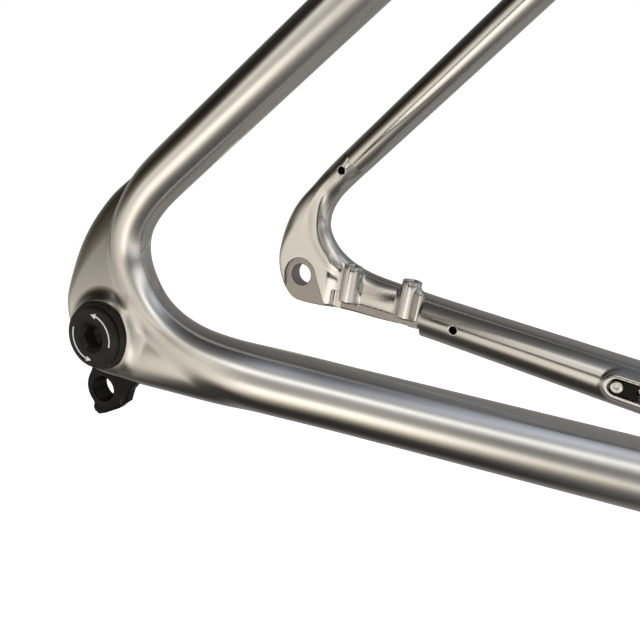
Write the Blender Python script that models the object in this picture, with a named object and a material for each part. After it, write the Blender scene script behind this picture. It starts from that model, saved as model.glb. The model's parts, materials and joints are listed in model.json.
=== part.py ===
"""A welded titanium gravel frame with cast rear dropouts, a swinging derailleur hanger and flat brake mounts.

Frame of the part: origin at the centre of the bottom bracket, +X forward, +Y to the rider's left, +Z up.
Sizes below are in millimetres and are turned into metres where meshes are written.
"""

import math

import bmesh
import bpy
import numpy as np
from mathutils import Matrix, Vector

MM = 0.001
GAP = 0.3  # between pieces that touch on the real frame

# Layout of the frame
CHAINSTAY_LENGTH = 425.0
BB_DROP = 70.0
SEAT_ANGLE = math.radians(73.5)
HEAD_ANGLE = math.radians(71.5)
STACK = 575.0
REACH = 385.0
HEAD_LENGTH = 140.0
SEAT_TUBE_LENGTH = 500.0
TOP_TUBE_ON_SEAT = 455.0
TOP_TUBE_BELOW_HEAD = 34.0
DOWN_TUBE_ABOVE_HEAD = 36.0

# Tubes: outer radii and walls
SEAT_RADIUS = 17.45
SEAT_WALL = 1.6
TOP_RADIUS = 17.45
DOWN_RADIUS = 21.0
MAIN_WALL = 1.2
HEAD_RADIUS = 23.0
HEAD_RING_RADIUS = 25.0
HEAD_RING_LENGTH = 12.0
HEAD_BORE = 20.6
HEAD_SEAT_BORE = 22.0
HEAD_SEAT_DEPTH = 15.0
SHELL_RADIUS = 25.8
SHELL_BORE = 23.2
SHELL_HALF = 43.0
SHELL_LIP = 24.4
CHAINSTAY_RADIUS = 11.0
SEATSTAY_RADIUS = 7.9
STAY_WALL = 1.1
SEATSTAY_BRIDGE_RADIUS = 6.35
CHAINSTAY_BRIDGE_RADIUS = 8.0

# Rear end, measured from the axle
HUB_HALF = 71.0
STAY_SLOPE = -0.1665  # a chainstay's fall per unit forward
CHAINSTAY_HEIGHT = -2.07  # height of its centre line at the axle
CHAINSTAY_SPREAD = 81.8  # its distance from the centre plane at the axle
CHAINSTAY_INWARD = -0.2077  # its way inward per unit forward
SEATSTAY_FOOT = (29.0, 72.35, 60.0)  # forward, sideways, up
SEATSTAY_RISE = math.radians(39.0)
SEATSTAY_INWARD = -0.1168  # per unit along its side view
CHAINSTAY_JOIN = 84.0  # forward of the axle, where stay and dropout meet
PAD_RADIUS = 13.4
PAD_FACE = 84.0
AXLE_RADIUS = 6.1
HUB_POCKET_RADIUS = 9.8
LEFT_INSIDE = 69.0
RIGHT_INSIDE = 72.0
HANGER_SEAT = 75.8

# Brake mount on the left chainstay
BOSS_SPREAD = 68.4
BOSS_SPACING = 34.0
BOSS_FIRST = 33.6
BOSS_TOP = 7.8
BOSS_HEIGHT = 20.0
BOSS_RADIUS = 5.2
BOSS_BORE = 2.6
BRAKE_FLAT = 67.0
BRAKE_CUT = 71.3

# Derailleur hanger and its bolt
HANGER_HOLE = (-9.2, -24.2)
HANGER_BORE = 5.0
HANGER_INSIDE = 71.0
HANGER_PAD_INSIDE = 68.4
HANGER_OUTSIDE = 75.5
BARREL_RADIUS = 8.2
BARREL_BORE = 6.1
WASHER_RADIUS = 12.4
WASHER_THICK = 2.4
BOLT_HEAD_RADIUS = 11.0
BOLT_HEAD_THICK = 1.8
BOLT_SHANK_RADIUS = 5.8
BOLT_KEY = 8.0

# Cable ports
PORT_LENGTH = 38.0
PORT_WIDTH = 11.0
PORT_MARGIN = 1.7
PORT_PROUD = 0.9
PORT_THICK = 3.4
PORT_FLOOR = 1.1
CHAINSTAY_PORT_AT = 183.0
DOWN_TUBE_PORT_AT = 520.0
VENT_RADIUS = 2.0
BOTTLE_SPACING = 64.0


# ---------------------------------------------------------------- points and directions


def unit(v):
    v = np.array(v, float)
    return v / np.linalg.norm(v)


AXLE = np.array([-math.sqrt(CHAINSTAY_LENGTH**2 - BB_DROP**2), 0.0, BB_DROP])
SEAT_WAY = np.array([-math.cos(SEAT_ANGLE), 0.0, math.sin(SEAT_ANGLE)])
HEAD_WAY = np.array([-math.cos(HEAD_ANGLE), 0.0, math.sin(HEAD_ANGLE)])
HEAD_TOP = np.array([REACH, 0.0, STACK])
HEAD_FOOT = HEAD_TOP - HEAD_WAY * HEAD_LENGTH
STAY_WAY_SIDE = unit((1.0, 0.0, STAY_SLOPE))


def chainstay_point(forward, side):
    """A point of a chainstay's centre line, by its distance forward of the axle."""
    straight, bend, late, entry = 190.0, 260.0, 340.0, 395.0
    out = CHAINSTAY_SPREAD + CHAINSTAY_INWARD * min(forward, straight)
    if forward > straight:
        t = min(forward, bend) - straight
        out += CHAINSTAY_INWARD * (t - t * t / (2 * (bend - straight)))
    if forward > late:
        t = min((forward - late) / (entry - late), 1.0)
        out -= 4.0 * t * t * (3 - 2 * t)
    return AXLE + np.array([forward, side * out, CHAINSTAY_HEIGHT + STAY_SLOPE * forward])


def seatstay_point(along, side):
    """A point of a seatstay's centre line, by its distance up the stay in the side view."""
    foot, bend = np.array(SEATSTAY_FOOT), 290.0
    out = foot[1] + SEATSTAY_INWARD * along
    if along > bend:
        out -= 0.00353 * (along - bend) ** 2
    forward = foot[0] + along * math.cos(SEATSTAY_RISE)
    up = foot[2] + along * math.sin(SEATSTAY_RISE)
    return AXLE + np.array([forward, side * out, up])


def spline(points, steps):
    """Points along a smooth curve through the given ones (Catmull-Rom)."""
    p = np.array(points, float)
    p = np.vstack([2 * p[0] - p[1], p, 2 * p[-1] - p[-2]])
    made = []
    for i in range(1, len(p) - 2):
        a, b, c, d = p[i - 1], p[i], p[i + 1], p[i + 2]
        for t in np.arange(steps) / steps:
            made.append(
                0.5 * (2 * b + (c - a) * t + (2 * a - 5 * b + 4 * c - d) * t**2
                       + (3 * b - a - 3 * c + d) * t**3)
            )
    made.append(p[-2])
    return np.array(made)


# ---------------------------------------------------------------- materials


def material(name, colour, metallic, roughness):
    made = bpy.data.materials.new(name)
    made.use_nodes = True
    shader = made.node_tree.nodes["Principled BSDF"]
    shader.inputs["Base Color"].default_value = (*colour, 1.0)
    shader.inputs["Metallic"].default_value = metallic
    shader.inputs["Roughness"].default_value = roughness
    return made


# ---------------------------------------------------------------- building solids


def clear_scene():
    for obj in list(bpy.data.objects):
        bpy.data.objects.remove(obj)


def add_object(name, bm, origin, finish=None):
    """Turns a bmesh in millimetres into an object in metres that turns about its own origin."""
    bmesh.ops.recalc_face_normals(bm, faces=bm.faces)
    bmesh.ops.translate(bm, vec=-Vector(origin), verts=bm.verts)
    bmesh.ops.scale(bm, vec=(MM, MM, MM), verts=bm.verts)
    mesh = bpy.data.meshes.new(name)
    bm.to_mesh(mesh)
    bm.free()
    mesh.shade_smooth()
    mesh.set_sharp_from_angle(angle=math.radians(35))
    obj = bpy.data.objects.new(name, mesh)
    obj.location = Vector(origin) * MM
    bpy.context.scene.collection.objects.link(obj)
    if finish:
        mesh.materials.append(finish)
    else:
        obj.hide_render = True
        obj.display_type = "WIRE"
    return obj


def combine(obj, other, operation):
    modifier = obj.modifiers.new(operation.lower(), "BOOLEAN")
    modifier.operation = operation
    modifier.object = other
    modifier.solver = "EXACT"
    return obj


def cut(obj, *others):
    for other in others:
        combine(obj, other, "DIFFERENCE")
    return obj


def join(obj, *others):
    for other in others:
        combine(obj, other, "UNION")
    return obj


def rings_along(points, radii, sides):
    """Rings of points round a path, turned as little as possible from one to the next."""
    points = np.array(points, float)
    way = np.gradient(points, axis=0)
    way /= np.linalg.norm(way, axis=1)[:, None]
    first = np.cross(way[0], (0.0, 1.0, 0.0))
    if np.linalg.norm(first) < 0.1:
        first = np.cross(way[0], (1.0, 0.0, 0.0))
    made, normal = [], unit(first)
    for centre, t, r in zip(points, way, radii):
        normal = unit(normal - t * (normal @ t))
        other = np.cross(t, normal)
        turn = np.linspace(0, 2 * math.pi, sides, endpoint=False)[:, None]
        made.append(centre + r * (np.cos(turn) * normal + np.sin(turn) * other))
    return made


def skin(bm, rings, close_ends):
    """Faces between rings of equal size, and flat ends if asked."""
    rows = [[bm.verts.new(p) for p in ring] for ring in rings]
    count = len(rows[0])
    for low, high in zip(rows, rows[1:]):
        for i in range(count):
            j = (i + 1) % count
            bm.faces.new((low[i], low[j], high[j], high[i]))
    if close_ends:
        bm.faces.new(rows[0][::-1])
        bm.faces.new(rows[-1])
    return rows


def bar(name, points, radii, sides, finish=None):
    bm = bmesh.new()
    skin(bm, rings_along(points, radii, sides), True)
    return add_object(name, bm, points[0], finish)


def tube(name, points, radius, wall, sides, finish=None):
    """A hollow tube with open ends."""
    bm = bmesh.new()
    flat = np.full(len(points), radius)
    outer = skin(bm, rings_along(points, flat, sides), False)
    inner = skin(bm, rings_along(points, flat - wall, sides), False)
    for a, b in ((outer[0], inner[0]), (outer[-1], inner[-1])):
        for i in range(sides):
            j = (i + 1) % sides
            bm.faces.new((a[i], a[j], b[j], b[i]))
    return add_object(name, bm, points[0], finish)


def turned(name, profile, base, way, sides, finish=None):
    """A solid of revolution. The profile is (radius, distance along the axis) pairs round a closed loop;
    where it reaches the axis, the points there become one."""
    way = unit(way)
    one = unit(np.cross(way, (0.0, 1.0, 0.0)) if abs(way[1]) < 0.9 else np.cross(way, (0.0, 0.0, 1.0)))
    two = np.cross(way, one)
    bm = bmesh.new()
    rows = []
    for radius, along in profile:
        centre = np.array(base, float) + way * along
        if radius < 1e-6:
            rows.append([bm.verts.new(centre)] * sides)
            continue
        turn = np.linspace(0, 2 * math.pi, sides, endpoint=False)[:, None]
        ring = centre + radius * (np.cos(turn) * one + np.sin(turn) * two)
        rows.append([bm.verts.new(p) for p in ring])
    for a, b in zip(rows, rows[1:] + rows[:1]):
        for i in range(sides):
            j = (i + 1) % sides
            corners = list(dict.fromkeys((a[i], a[j], b[j], b[i])))
            if len(corners) > 2:
                bm.faces.new(corners)
    return add_object(name, bm, base, finish)


def rod(base, end, radius, sides=24, name="cutter"):
    """A plain cylinder used to cut or to join."""
    return bar(name, [base, end], [radius, radius], sides)


def prism(name, outline, base, across, up, way, depth, finish=None):
    """A flat outline pushed along a direction. The outline's two numbers run along across and up."""
    across, up, way = unit(across), unit(up), unit(way)
    base = np.array(base, float)
    low = [base + across * x + up * y for x, y in outline]
    bm = bmesh.new()
    skin(bm, [low, [p + way * depth for p in low]], True)
    return add_object(name, bm, base, finish)


def slot_outline(length, width, arc=8):
    """A racetrack: two half circles joined by straight sides."""
    r, half, made = width / 2, (length - width) / 2, []
    for centre, start in ((half, -math.pi / 2), (-half, math.pi / 2)):
        for i in range(arc + 1):
            a = start + math.pi * i / arc
            made.append((centre + r * math.cos(a), r * math.sin(a)))
    return made


def hexagon(across_flats):
    r = across_flats / math.sqrt(3)
    return [(r * math.cos(k * math.pi / 3), r * math.sin(k * math.pi / 3)) for k in range(6)]


# ---------------------------------------------------------------- main triangle


def seat_point(along):
    return SEAT_WAY * along


def make_main_triangle(metal):
    head = turned(
        "head_tube",
        [(HEAD_SEAT_BORE, 0), (HEAD_RING_RADIUS, 0), (HEAD_RING_RADIUS, HEAD_RING_LENGTH),
         (HEAD_RADIUS, HEAD_RING_LENGTH + 4), (HEAD_RADIUS, HEAD_LENGTH - HEAD_RING_LENGTH - 4),
         (HEAD_RING_RADIUS, HEAD_LENGTH - HEAD_RING_LENGTH), (HEAD_RING_RADIUS, HEAD_LENGTH),
         (HEAD_SEAT_BORE, HEAD_LENGTH), (HEAD_SEAT_BORE, HEAD_LENGTH - HEAD_SEAT_DEPTH),
         (HEAD_BORE, HEAD_LENGTH - HEAD_SEAT_DEPTH), (HEAD_BORE, HEAD_SEAT_DEPTH),
         (HEAD_SEAT_BORE, HEAD_SEAT_DEPTH)],
        HEAD_FOOT, HEAD_WAY, 36, metal,
    )
    turned(
        "bottom_bracket_shell",
        [(SHELL_LIP, -SHELL_HALF), (SHELL_RADIUS, -SHELL_HALF), (SHELL_RADIUS, SHELL_HALF),
         (SHELL_LIP, SHELL_HALF), (SHELL_BORE, SHELL_HALF - 1.5), (SHELL_BORE, 1.5 - SHELL_HALF)],
        (0, 0, 0), (0, 1, 0), 40, metal,
    )
    shell_cutter = rod((0, -60, 0), (0, 60, 0), SHELL_RADIUS + GAP, 40, "shell_cutter")
    ring, low, high = HEAD_RING_RADIUS + GAP, HEAD_RING_LENGTH + GAP, HEAD_LENGTH - HEAD_RING_LENGTH - GAP
    head_cutter = turned(
        "head_cutter",
        [(0, -20), (ring, -20), (ring, low), (HEAD_RADIUS + GAP, low + 4), (HEAD_RADIUS + GAP, high - 4),
         (ring, high), (ring, HEAD_LENGTH + 20), (0, HEAD_LENGTH + 20)],
        HEAD_FOOT, HEAD_WAY, 36,
    )
    seat_cutter = rod(seat_point(60), seat_point(560), SEAT_RADIUS + GAP, 32, "seat_cutter")

    seat = tube("seat_tube", [seat_point(0), seat_point(SEAT_TUBE_LENGTH)], SEAT_RADIUS, SEAT_WALL, 32, metal)
    slot = prism(
        "slot_cutter", [(-SEAT_RADIUS - 4, -1.2), (-5, -1.2), (-5, 1.2), (-SEAT_RADIUS - 4, 1.2)],
        seat_point(SEAT_TUBE_LENGTH - 28), np.cross((0, 1, 0), SEAT_WAY), (0, 1, 0), SEAT_WAY, 40,
    )
    cut(seat, shell_cutter, slot)

    top_rear = seat_point(TOP_TUBE_ON_SEAT)
    top_front = HEAD_TOP - HEAD_WAY * TOP_TUBE_BELOW_HEAD
    top = tube("top_tube", [top_rear, top_front], TOP_RADIUS, MAIN_WALL, 32, metal)
    cut(top, seat_cutter, head_cutter)

    down_front = HEAD_FOOT + HEAD_WAY * DOWN_TUBE_ABOVE_HEAD
    down = tube("down_tube", [np.zeros(3), down_front], DOWN_RADIUS, MAIN_WALL, 32, metal)
    seat_at_shell = rod(seat_point(0), seat_point(90), SEAT_RADIUS + GAP, 32, "seat_foot_cutter")
    top_at_head = rod(top_rear, top_front, TOP_RADIUS + GAP, 32, "top_cutter")
    cut(down, shell_cutter, head_cutter, seat_at_shell, top_at_head)
    return {"head": head, "seat": seat, "down": down, "seat_cutter": seat_cutter,
            "shell_cutter": shell_cutter, "down_front": down_front}


# ---------------------------------------------------------------- stays


def make_stays(metal, cutters):
    """Both chainstays and both seatstays, each cut where it meets its neighbours."""
    made = {}
    for side, name in ((-1, "right"), (1, "left")):
        forward = [CHAINSTAY_JOIN + GAP, 140, 190, 212, 236, 260, 300, 340, 358, 376, 405]
        stay = tube(f"{name}_chainstay", [chainstay_point(f, side) for f in forward],
                    CHAINSTAY_RADIUS, STAY_WALL, 20, metal)
        vent = chainstay_point(93.5, side)
        cut(stay, cutters["shell_cutter"], rod(vent, vent - np.array([0, side * 14, 0]), VENT_RADIUS, 12))
        made[f"{name}_chainstay"] = stay

        along = [-12.0, 80, 160, 240, 290, 308, 325, 342, 362]
        stay = tube(f"{name}_seatstay", [seatstay_point(a, side) for a in along],
                    SEATSTAY_RADIUS, STAY_WALL, 18, metal)
        vent = seatstay_point(-3.2, side)
        cut(stay, cutters["seat_cutter"], rod(vent, vent - np.array([0, side * 11, 0]), VENT_RADIUS, 12))
        made[f"{name}_seatstay"] = stay
    return made


def make_bridges(metal):
    """Cross tubes that hold the stays apart, mitred against them."""
    for name, place, at, radius, stay_radius, step in (
        ("seatstay_bridge", seatstay_point, 300.0, SEATSTAY_BRIDGE_RADIUS, SEATSTAY_RADIUS, 14),
        ("chainstay_bridge", chainstay_point, 366.0, CHAINSTAY_BRIDGE_RADIUS, CHAINSTAY_RADIUS, 20),
    ):
        bridge = tube(name, [place(at, -1), place(at, 1)], radius, STAY_WALL, 18, metal)
        for side in (-1, 1):
            ends = [place(at + d, side) for d in np.linspace(-step, step, 5)]
            cut(bridge, bar("stay_cutter", ends, [stay_radius + GAP] * 5, 20))


# ---------------------------------------------------------------- dropouts

# The bent core of a dropout, from the seatstay's foot round to the chainstay: forward, up and radius.
CORE = [
    (14.5, 46.6, 8.0), (9.6, 38.0, 8.2), (8.4, 28.0, 8.4), (10.2, 19.0, 8.6),
    (15.4, 9.6, 9.0), (23.6, 2.2, 9.6), (36.0, -4.6, 10.4), (52.0, -9.8, 10.9),
]
CORE_SPREAD = 77.0
# Side outline of the web, rear edge from the top and then the lower edge: forward, up, the distance of its
# crest from the frame's middle, and how far its outer face stops short of the crest.
WEB_REAR = [
    (12.4, 53.6, 75.4, 2.4), (3.0, 46.6, 77.0, 2.4), (-5.0, 39.0, 78.0, 2.4), (-11.4, 30.0, 79.0, 2.4),
    (-15.6, 19.0, 79.2, 2.4), (-17.6, 8.0, 79.2, 2.4), (-17.4, -1.0, 79.2, 2.6), (-14.6, -8.6, 79.2, 2.6),
    (-9.4, -14.0, 79.4, 2.6), (-1.0, -16.6, 79.6, 2.6),
]
WEB_FOOT = [
    (9.0, -17.8, 79.6, 3.0), (20.0, -18.6, 78.8, 4.0), (32.0, -19.4, 76.6, 6.0), (47.0, -20.0, 74.6, 9.5),
]
WEB_OUTSIDE = 82.0


def core_path(side):
    """Centre points and radii from inside the seatstay's foot to the chainstay's end face."""
    foot = seatstay_point(-12.0 - GAP, side)
    above = seatstay_point(-9.0, side)
    points = [foot, *(AXLE + np.array([x, side * CORE_SPREAD, z]) for x, z, _ in CORE)]
    points[1][1] = side * 75.2
    points[-1][1] = side * 71.8
    points[-2][1] = side * 74.6
    points[-3][1] = side * 76.6
    radii = [SEATSTAY_RADIUS, *(r for _, _, r in CORE)]
    points += [chainstay_point(68.0, side), chainstay_point(CHAINSTAY_JOIN, side)]
    radii += [CHAINSTAY_RADIUS, CHAINSTAY_RADIUS]
    smooth = spline(np.column_stack([points, radii]), 2)
    # The first span keeps the seatstay's own direction, so that the two end faces are parallel.
    smooth[0, :3] = foot
    smooth[1, :3] = foot + (foot - above) * 1.2
    return smooth[:, :3], smooth[:, 3]


def web_rings(side, inside):
    """The web as rings from its flat inner to its flat outer face, with a crest between them."""
    edge = [*spline(WEB_REAR, 2), *WEB_FOOT]
    core = [(x, z) for x, z, _ in reversed(CORE)]
    middle = np.array(core)
    rings = []
    for depth, flat, share in ((0, inside, 1.6), (-1.5, None, 0.0), (1.2, None, 0.0), (0, WEB_OUTSIDE, 1.0)):
        ring = []
        for x, z, crest, inset in edge:
            here = np.array((x, z))
            way = middle[np.argmin(np.linalg.norm(middle - here, axis=1))] - here
            limit = 2.6 if flat == inside else 9.5
            x, z = here + way / np.linalg.norm(way) * min(inset, limit) * share
            ring.append((x, flat or crest + depth, z))
        for x, z in core:
            ring.append((x, flat or CORE_SPREAD + depth, z))
        rings.append([at_axle(x, side * y, z) for x, y, z in ring])
    return rings


def at_axle(x, y, z):
    return AXLE + np.array([x, y, z])


def along_axle(from_y, to_y, radius, sides, x=0.0, z=0.0):
    """A cylinder whose axis runs across the frame."""
    return rod(at_axle(x, from_y, z), at_axle(x, to_y, z), radius, sides)


def dropout_body(name, side, inside, metal):
    """Web, pad and bent core as one solid."""
    bm = bmesh.new()
    skin(bm, web_rings(side, inside), True)
    web = add_object(name, bm, AXLE, metal)
    points, radii = core_path(side)
    core = bar(f"{name}_core", points, radii, 18)
    pad = along_axle(side * (inside + 2), side * PAD_FACE, PAD_RADIUS, 32)
    return join(web, core, pad)


def make_right_dropout(metal):
    body = dropout_body("right_dropout", -1, RIGHT_INSIDE, metal)
    hanger_seat = along_axle(-50, -HANGER_SEAT, 36, 32, x=-8, z=-12)
    barrel_hole = along_axle(-60, -100, BARREL_RADIUS + GAP, 28)
    return cut(body, hanger_seat, barrel_hole)


def make_left_dropout(metal):
    body = dropout_body("left_dropout", 1, LEFT_INSIDE, metal)
    arc = [
        (HUB_POCKET_RADIUS * math.cos(math.radians(a)), HUB_POCKET_RADIUS * math.sin(math.radians(a)))
        for a in range(10, 191, 15)
    ]
    pocket = prism("pocket_cutter", [(19.0, -26.0), *arc, (-11.5, -26.0)], at_axle(0, 40, 0),
                   (1, 0, 0), (0, 0, 1), (0, 1, 0), HUB_HALF - 40)
    axle_hole = along_axle(60, 100, AXLE_RADIUS, 24)
    axle_seat = along_axle(PAD_FACE - 2.5, 100, 9.6, 28)
    cut(body, pocket, axle_hole, axle_seat)

    up = brake_up()
    flat = prism("flat_cutter", [(24, -30), (76, -30), (76, 30), (24, 30)],
                 at_axle(0, 30, CHAINSTAY_HEIGHT), STAY_WAY_SIDE, up, (0, 1, 0), BRAKE_FLAT - 30)
    milled = prism("milled_cutter", [(19.6, -20), (76.5, -20), (76.5, -5.2), (19.6, -5.2)],
                   at_axle(0, 30, CHAINSTAY_HEIGHT), STAY_WAY_SIDE, up, (0, 1, 0), BRAKE_CUT - 30)
    cut(body, flat, milled)
    for top in brake_boss_tops():
        foot = top - up * BOSS_HEIGHT
        cut(body, rod(foot - up * GAP, top + up * 20, BOSS_RADIUS + GAP, 24))
    return body


def brake_up():
    """The direction that the brake bosses point, square to the chainstay in the side view."""
    return np.cross(STAY_WAY_SIDE, (0.0, 1.0, 0.0))


def brake_boss_tops():
    first = at_axle(BOSS_FIRST, BOSS_SPREAD, BOSS_TOP)
    return [first, first + STAY_WAY_SIDE * BOSS_SPACING]


def make_brake_bosses(metal):
    for name, top in zip(("rear_brake_boss", "front_brake_boss"), brake_boss_tops()):
        turned(name, [(BOSS_BORE, -BOSS_HEIGHT), (BOSS_RADIUS, -BOSS_HEIGHT), (BOSS_RADIUS, -0.5),
                      (BOSS_RADIUS - 0.5, 0), (BOSS_BORE + 0.4, 0), (BOSS_BORE, -0.4)],
               top, brake_up(), 24, metal)


# ---------------------------------------------------------------- derailleur hanger


def hanger_outline():
    """Side outline of the hanger, forward and up from the axle."""
    hx, hz = HANGER_HOLE
    ring = [(13.2 * math.cos(math.radians(a)), 13.2 * math.sin(math.radians(a))) for a in range(-10, 200, 15)]
    lobe = [(hx + 7.9 * math.cos(math.radians(a)), hz + 7.9 * math.sin(math.radians(a)))
            for a in range(165, 231, 13)]
    tab = [(-15.6, -32.6), (-14.8, -34.4), (-12.8, -35.4), (-9.6, -34.4), (-3.2, -31.6), (1.2, -28.2)]
    shoulder = [(3.2, -23.4), (7.2, -19.4), (13.6, -16.4), (15.0, -12.0)]
    return ring + [(-14.6, -15.6)] + lobe + tab + shoulder


def make_hanger(black):
    pivot = bpy.data.objects.new("hanger_pivot", None)
    pivot.location = Vector(AXLE) * MM
    bpy.context.scene.collection.objects.link(pivot)
    plate = prism("derailleur_hanger", hanger_outline(), at_axle(0, -HANGER_INSIDE, 0),
                  (1, 0, 0), (0, 0, 1), (0, -1, 0), HANGER_OUTSIDE - HANGER_INSIDE, black)
    hx, hz = HANGER_HOLE
    thick = along_axle(-HANGER_PAD_INSIDE, -HANGER_OUTSIDE + 1, 7.9, 28, x=hx, z=hz)
    barrel = along_axle(-HANGER_OUTSIDE + 2, -PAD_FACE + 0.6, BARREL_RADIUS, 28)
    join(plate, thick, barrel)
    cut(plate, along_axle(-60, -100, BARREL_BORE, 28), along_axle(-60, -100, HANGER_BORE, 24, x=hx, z=hz))

    base = at_axle(0, -PAD_FACE - GAP, 0)
    turned(
        "hanger_washer",
        [(BARREL_BORE, 0), (WASHER_RADIUS - 0.5, 0), (WASHER_RADIUS, 0.6), (WASHER_RADIUS, 1.4),
         (BOLT_HEAD_RADIUS + 0.8, WASHER_THICK), (BARREL_BORE, WASHER_THICK)],
        base, (0, -1, 0), 32, black,
    )
    head = base + np.array([0, -WASHER_THICK - GAP, 0])
    bolt = turned("hanger_bolt",
                  [(0, -11.0), (BOLT_SHANK_RADIUS, -11.0), (BOLT_SHANK_RADIUS, 0), (BOLT_HEAD_RADIUS, 0),
                   (BOLT_HEAD_RADIUS, BOLT_HEAD_THICK - 0.6), (BOLT_HEAD_RADIUS - 0.6, BOLT_HEAD_THICK),
                   (0, BOLT_HEAD_THICK)],
                  head, (0, -1, 0), 32, black)
    socket = prism("socket_cutter", hexagon(BOLT_KEY), head + np.array([0, 5.0, 0]),
                   (1, 0, 0), (0, 0, 1), (0, -1, 0), 12)
    cut(bolt, socket)
    for piece in (plate, bolt):
        piece.location -= pivot.location
        piece.parent = pivot


# ---------------------------------------------------------------- ports, bosses and collar


def make_screw(name, base, way, head_radius, head_thick, shank_radius, shank_length, key, steel):
    """A low round-headed screw whose head stands on base and points along way."""
    way = unit(way)
    screw = turned(
        name,
        [(0, -shank_length), (shank_radius, -shank_length), (shank_radius, 0), (head_radius, 0),
         (head_radius, head_thick * 0.55), (head_radius * 0.8, head_thick), (0, head_thick)],
        base, way, 16, steel,
    )
    across = unit(np.cross(way, (0.3, 0.2, 1.0)))
    cut(screw, prism("key_cutter", hexagon(key), np.array(base) + way * head_thick * 0.35,
                     across, np.cross(way, across), way, head_thick * 2))


def make_port(prefix, host, centre, along, out, radius, metal, black, steel):
    """A welded port rim with a screwed cover, let into a tube. centre is on the tube's centre line."""
    along = unit(along)
    out = unit(np.array(out, float) - along * (np.array(out, float) @ along))
    up = np.cross(out, along)
    foot = centre + out * (radius + PORT_PROUD - PORT_THICK)
    pocket = prism("port_cutter", slot_outline(PORT_LENGTH + 2 * GAP, PORT_WIDTH + 2 * GAP),
                   foot - out * 1.0, along, up, out, PORT_THICK + 6)
    cut(host, pocket)
    outer = slot_outline(PORT_LENGTH, PORT_WIDTH)
    rim = prism(f"{prefix}_rim", outer, foot, along, up, out, PORT_THICK, metal)
    inner = slot_outline(PORT_LENGTH - 2 * PORT_MARGIN, PORT_WIDTH - 2 * PORT_MARGIN)
    well = prism("well_cutter", inner, foot + out * PORT_FLOOR, along, up, out, PORT_THICK)
    window = prism("window_cutter", slot_outline(17, 6.4), foot - out * 2, along, up, out, 10)
    cut(rim, well, window)
    screw_at = (PORT_LENGTH - PORT_WIDTH) / 2
    top = foot + out * (PORT_FLOOR + GAP)
    cover = prism(f"{prefix}_cover", slot_outline(PORT_LENGTH - 2 * PORT_MARGIN - 2 * GAP,
                                                  PORT_WIDTH - 2 * PORT_MARGIN - 2 * GAP),
                  top, along, up, out, 1.2, black)
    cut(cover, prism("hose_cutter", slot_outline(12.0, 5.8), top - out * 3, along, up, out, 9))
    for name, at in (("rear", -screw_at), ("front", screw_at)):
        place = foot + along * at
        for piece, size in ((rim, 1.5), (cover, 1.5)):
            cut(piece, rod(place - out * 4, place + out * 8, size, 12))
        make_screw(f"{prefix}_screw_{name}", top + along * at + out * (1.2 + GAP), out,
                   2.8, 1.2, 1.2, 4.0, 2.0, steel)


def make_ports(stays, triangle, metal, black, steel):
    at = CHAINSTAY_PORT_AT
    centre = chainstay_point(at, 1)
    along = chainstay_point(at + 4, 1) - chainstay_point(at - 4, 1)
    make_port("chainstay_port", stays["left_chainstay"], centre, along, (0, -1, 0), CHAINSTAY_RADIUS,
              metal, black, steel)
    way = unit(triangle["down_front"])
    make_port("down_tube_port", triangle["down"], way * DOWN_TUBE_PORT_AT, way, (0, 1, 0), DOWN_RADIUS,
              metal, black, steel)


def make_bottle_mounts(triangle, metal, steel):
    """Two threaded bosses with bolts on the down tube, and two on the seat tube."""
    down_way = unit(triangle["down_front"])
    for host, prefix, way, turn, radius, lowest in (
        (triangle["down"], "down_tube", down_way, -1, DOWN_RADIUS, 215.0),
        (triangle["seat"], "seat_tube", SEAT_WAY, 1, SEAT_RADIUS, 165.0),
    ):
        out = np.cross((0, turn, 0), way)
        for which, at in (("lower", lowest), ("upper", lowest + BOTTLE_SPACING)):
            surface = way * at + out * (radius + GAP)
            cut(host, rod(surface - out * 8, surface + out * 4, 3.6 + GAP, 16))
            turned(f"{prefix}_boss_{which}",
                   [(2.6, -6), (3.6, -6), (3.6, 0), (5.6, 0), (5.6, 0.9), (5.0, 1.5), (2.6, 1.5)],
                   surface, out, 16, metal)
            top = surface + out * (1.5 + GAP)
            make_screw(f"{prefix}_bolt_{which}", top, out, 4.2, 2.4, 2.3, 6.5, 3.0, steel)


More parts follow.
